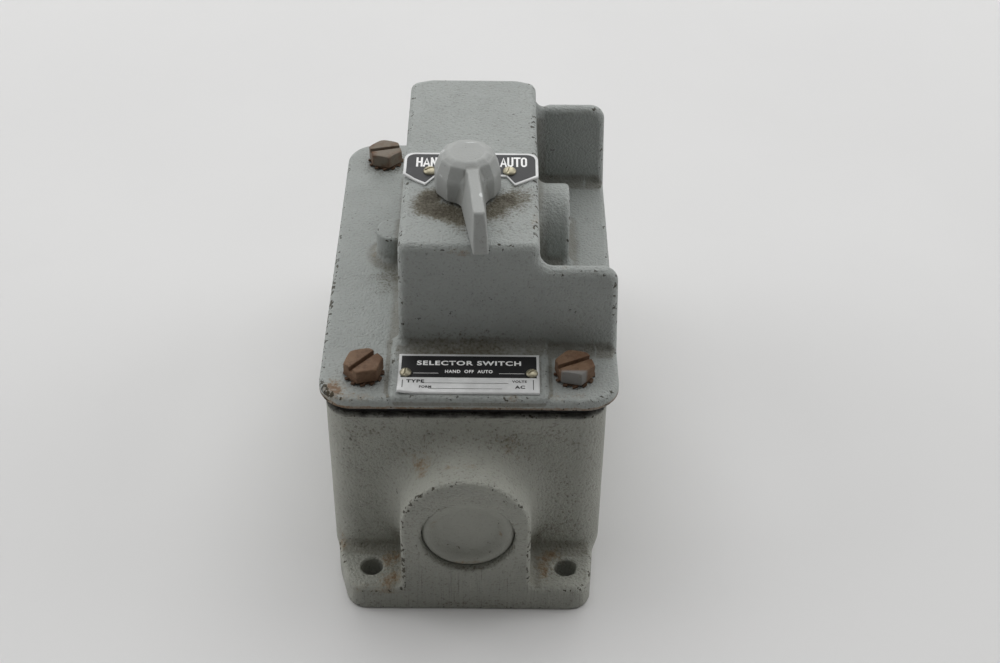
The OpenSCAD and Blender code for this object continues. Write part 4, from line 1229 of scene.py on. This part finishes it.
class STATION_OT_plug(bpy.types.Operator):
    """Closing plug in the front hub and thread in the back hub"""
    bl_idname = "station.plug"
    bl_label = "Hub plug and thread"

    def execute(self, context):
        self.plug()
        self.thread()
        return {"FINISHED"}

    def plug(self):
        """A drawn disc with a dish and a rolled edge, turned from its profile."""
        curve = np.concatenate([smooth_path(PLUG_FRONT, 6), smooth_path(PLUG_BACK, 5)])
        curve[:, 0] = np.maximum(curve[:, 0], 0)
        curve[[0, -1], 0] = 0
        plug = revolve("hub_closing_plug", curve, (0.0, -FOOT_L / 2, BORE_Z))
        co = np.zeros(len(plug.data.vertices) * 3, np.float32)
        plug.data.vertices.foreach_get("co", co)
        set_mark(plug.data, "rust", patches(co.reshape(-1, 3) / MM, PLUG_RUST))
        paint = enamel_finish("plug_enamel", tint(colours().base_enamel, 0.95), 0.4, worn=0.8)
        mount(plug, "enclosure", "cast_enamel", paint, "hub_plug")

    def thread(self):
        """A sleeve whose radius falls to a ridge once in each pitch and each turn, fading
        out at both ends, closed by a plain outside."""
        along = np.linspace(THREAD_START, THREAD_END, THREAD_ROWS)
        angle = np.arange(THREAD_COLUMNS) * 2 * math.pi / THREAD_COLUMNS
        phase = (along[:, None] / THREAD_PITCH + angle[None, :] / (2 * math.pi)) % 1
        fade = ease(along, THREAD_START, 68) * (1 - ease(along, 88.6, THREAD_END))
        ridge = (0.5 - np.abs(phase - 0.5)) * 2 * fade[:, None]
        inner = BORE_R - 0.12 - THREAD_DEPTH * ridge
        radius = np.concatenate([inner, np.full((2, THREAD_COLUMNS), BORE_R + 0.25)])
        along = np.concatenate([along, [THREAD_END, THREAD_START]])
        points = np.stack([radius * np.cos(angle), np.repeat(along[:, None], THREAD_COLUMNS, 1),
                           BORE_Z + radius * np.sin(angle)], axis=2).reshape(-1, 3)
        faces = grid_faces(len(along), THREAD_COLUMNS, True, True)
        sleeve = make_mesh("conduit_thread", points, faces)
        cut = metal_finish("cut_iron", (0.20, 0.19, 0.18), 0.45, 0.6, 0.6)
        mount(sleeve, "enclosure", "plain_steel", cut)


class STATION_OT_inner(bpy.types.Operator):
    """Finishes of the parts that keep their CAD shape"""
    bl_idname = "station.inner"
    bl_label = "Inner parts"

    def execute(self, context):
        finishes = {
            "rubber": moulded_finish("black_rubber", (0.022, 0.021, 0.020), 0.7, 0.3),
            "black_phenolic": moulded_finish("brown_phenolic", (0.035, 0.022, 0.015), 0.3, 0.1),
            "white_nylon": moulded_finish("ivory_nylon", (0.66, 0.61, 0.49), 0.4, 0.08),
            "plain_steel": metal_finish("turned_steel", (0.46, 0.46, 0.46), 0.3, 0.4),
            "dark_steel": metal_finish("blackened_steel", (0.085, 0.085, 0.09), 0.35, 0.4),
            "brass": metal_finish("plain_brass", (0.60, 0.46, 0.20), 0.26, 0.4),
            "copper": metal_finish("contact_copper", (0.62, 0.30, 0.17), 0.3, 0.45),
            "green_steel": metal_finish("green_dyed_steel", (0.05, 0.20, 0.08), 0.4, 0.4, 0.5),
        }
        slots = {row["node"]: row["material_slot"] for row in frame["record"]["subparts"]}
        for name, piece in frame["nodes"].items():
            if piece.hide_render:
                continue
            slot = slots[name]
            piece.data.materials.clear()
            piece.data.materials.append(finishes[slot])
        return {"FINISHED"}


# Camera: its place in metres, its three turns in degrees, its lens and sensor in millimetres
CAMERA_PLACE = (0.0078, -0.44003, 0.41006)
CAMERA_PITCH, CAMERA_YAW, CAMERA_ROLL = 39.70, -0.27, 0.69
CAMERA_LENS, SENSOR = 57.44, 36.0


class STATION_OT_stage(bpy.types.Operator):
    """Floor, lights and camera"""
    bl_idname = "station.stage"
    bl_label = "Floor, lights and camera"

    def execute(self, context):
        self.floor()
        self.lights(context.scene)
        self.camera(context.scene)
        return {"FINISHED"}

    def floor(self):
        """A flat sheet that runs well past the view, with a long rise at its back."""
        along = np.linspace(-2500, 3500, 61)
        rise = np.maximum(along - 2200, 0) ** 2 * 0.0006
        across = np.linspace(-3000, 3000, 61)
        x, y = np.meshgrid(across, along, indexing="ij")
        points = np.stack([x, y, np.broadcast_to(rise, x.shape)], axis=2).reshape(-1, 3)
        floor = make_mesh("pale_floor", points, grid_faces(61, 61))
        p = Paint("floor_paper")
        tone = p.noise(6, 3, 0.5)
        smudge = p.noise(45, 3, 0.6)
        base = p.mix(tone.ramp(0.3, 0.7), tint(colours().floor, 0.985), tint(colours().floor, 1.01))
        base = p.mix(smudge.ramp(0.55, 0.8) * 0.06, base, tint(colours().floor, 0.9))
        floor.data.materials.append(p.finish(Base_Color=base, Roughness=0.9, Specular_IOR_Level=0.1))

    def lights(self, scene):
        """One broad lamp overhead and behind, softer ones at both sides, and a dim sky."""
        rows = (("overhead", (0.0, 0.45, 1.8), (0.0, 0.05, 0.0), 2.4, 1.7, 17.8),
                ("back", (0.0, 2.3, 1.5), (0.0, 0.0, 0.0), 2.8, 1.3, 28.0),
                ("left", (-1.8, 0.35, 0.85), (0.0, 0.05, 0.05), 1.9, 1.3, 13.0),
                ("right", (1.9, 0.45, 0.95), (0.0, 0.05, 0.05), 1.9, 1.3, 12.0))
        for name, place, target, wide, tall, power in rows:
            data = bpy.data.lights.new("lamp_" + name, "AREA")
            data.shape, data.size, data.size_y, data.energy = "RECTANGLE", wide, tall, power
            lamp = bpy.data.objects.new("lamp_" + name, data)
            scene.collection.objects.link(lamp)
            back = np.array(place) - np.array(target)
            back = back / np.linalg.norm(back)
            right = np.cross([0, 1, 0.001], back)
            right = right / np.linalg.norm(right)
            up = np.cross(back, right)
            turn = np.eye(4)
            turn[:3, 0], turn[:3, 1], turn[:3, 2], turn[:3, 3] = right, up, back, place
            lamp.matrix_world = Matrix(turn.tolist())
        world = bpy.data.worlds.new("soft_sky")
        world.use_nodes = True
        sky = world.node_tree.nodes["Background"]
        sky.inputs["Color"].default_value = (1.0, 0.975, 0.93, 1.0)
        sky.inputs["Strength"].default_value = 0.13
        scene.world = world
        scene.view_settings.view_transform = "Standard"
        scene.view_settings.look = "None"

    def camera(self, scene):
        """A camera turned down by its pitch, about the vertical by its yaw, and rolled."""
        pitch, yaw, roll = (math.radians(a) for a in (CAMERA_PITCH, CAMERA_YAW, CAMERA_ROLL))
        about = np.array([[math.cos(yaw), -math.sin(yaw), 0], [math.sin(yaw), math.cos(yaw), 0],
                          [0, 0, 1]])
        right = about @ [1, 0, 0]
        ahead = about @ [0, math.cos(pitch), -math.sin(pitch)]
        up = about @ [0, math.sin(pitch), math.cos(pitch)]
        turn = np.eye(4)
        turn[:3, 0] = right * math.cos(roll) + up * math.sin(roll)
        turn[:3, 1] = up * math.cos(roll) - right * math.sin(roll)
        turn[:3, 2] = -ahead
        turn[:3, 3] = CAMERA_PLACE
        data = bpy.data.cameras.new("view_camera")
        data.lens, data.sensor_width, data.clip_start, data.clip_end = CAMERA_LENS, SENSOR, 0.01, 20.0
        camera = bpy.data.objects.new("view_camera", data)
        scene.collection.objects.link(camera)
        camera.matrix_world = Matrix(turn.tolist())
        scene.camera = camera


OPERATORS = (STATION_OT_base, STATION_OT_cover, STATION_OT_knob, STATION_OT_bolts,
             STATION_OT_plates, STATION_OT_small_screws, STATION_OT_plug, STATION_OT_inner,
             STATION_OT_stage)


class STATION_PT_panel(bpy.types.Panel):
    """Settings and one button for each piece"""
    bl_idname = "STATION_PT_panel"
    bl_label = "Switch Station"
    bl_space_type = "VIEW_3D"
    bl_region_type = "UI"
    bl_category = "Switch Station"

    def draw(self, context):
        column = self.layout.column()
        for group in (colours(), sizes()):
            for key in group.bl_rna.properties.keys():
                if key not in ("rna_type", "name"):
                    column.prop(group, key)
        for operator in OPERATORS:
            column.operator(operator.bl_idname)


CLASSES = (StationColours, StationSizes) + OPERATORS + (STATION_PT_panel,)


def register():
    """Adds the classes and the scene's settings."""
    for cls in CLASSES:
        bpy.utils.register_class(cls)
    bpy.types.Scene.station_colours = PointerProperty(type=StationColours)
    bpy.types.Scene.station_sizes = PointerProperty(type=StationSizes)


def unregister():
    """Takes the settings and the classes away again."""
    del bpy.types.Scene.station_sizes
    del bpy.types.Scene.station_colours
    for cls in reversed(CLASSES):
        bpy.utils.unregister_class(cls)


def main():
    register()
    for operator in OPERATORS:
        group, name = operator.bl_idname.split(".")
        getattr(getattr(bpy.ops, group), name)()


if __name__ == "__main__":
    main()
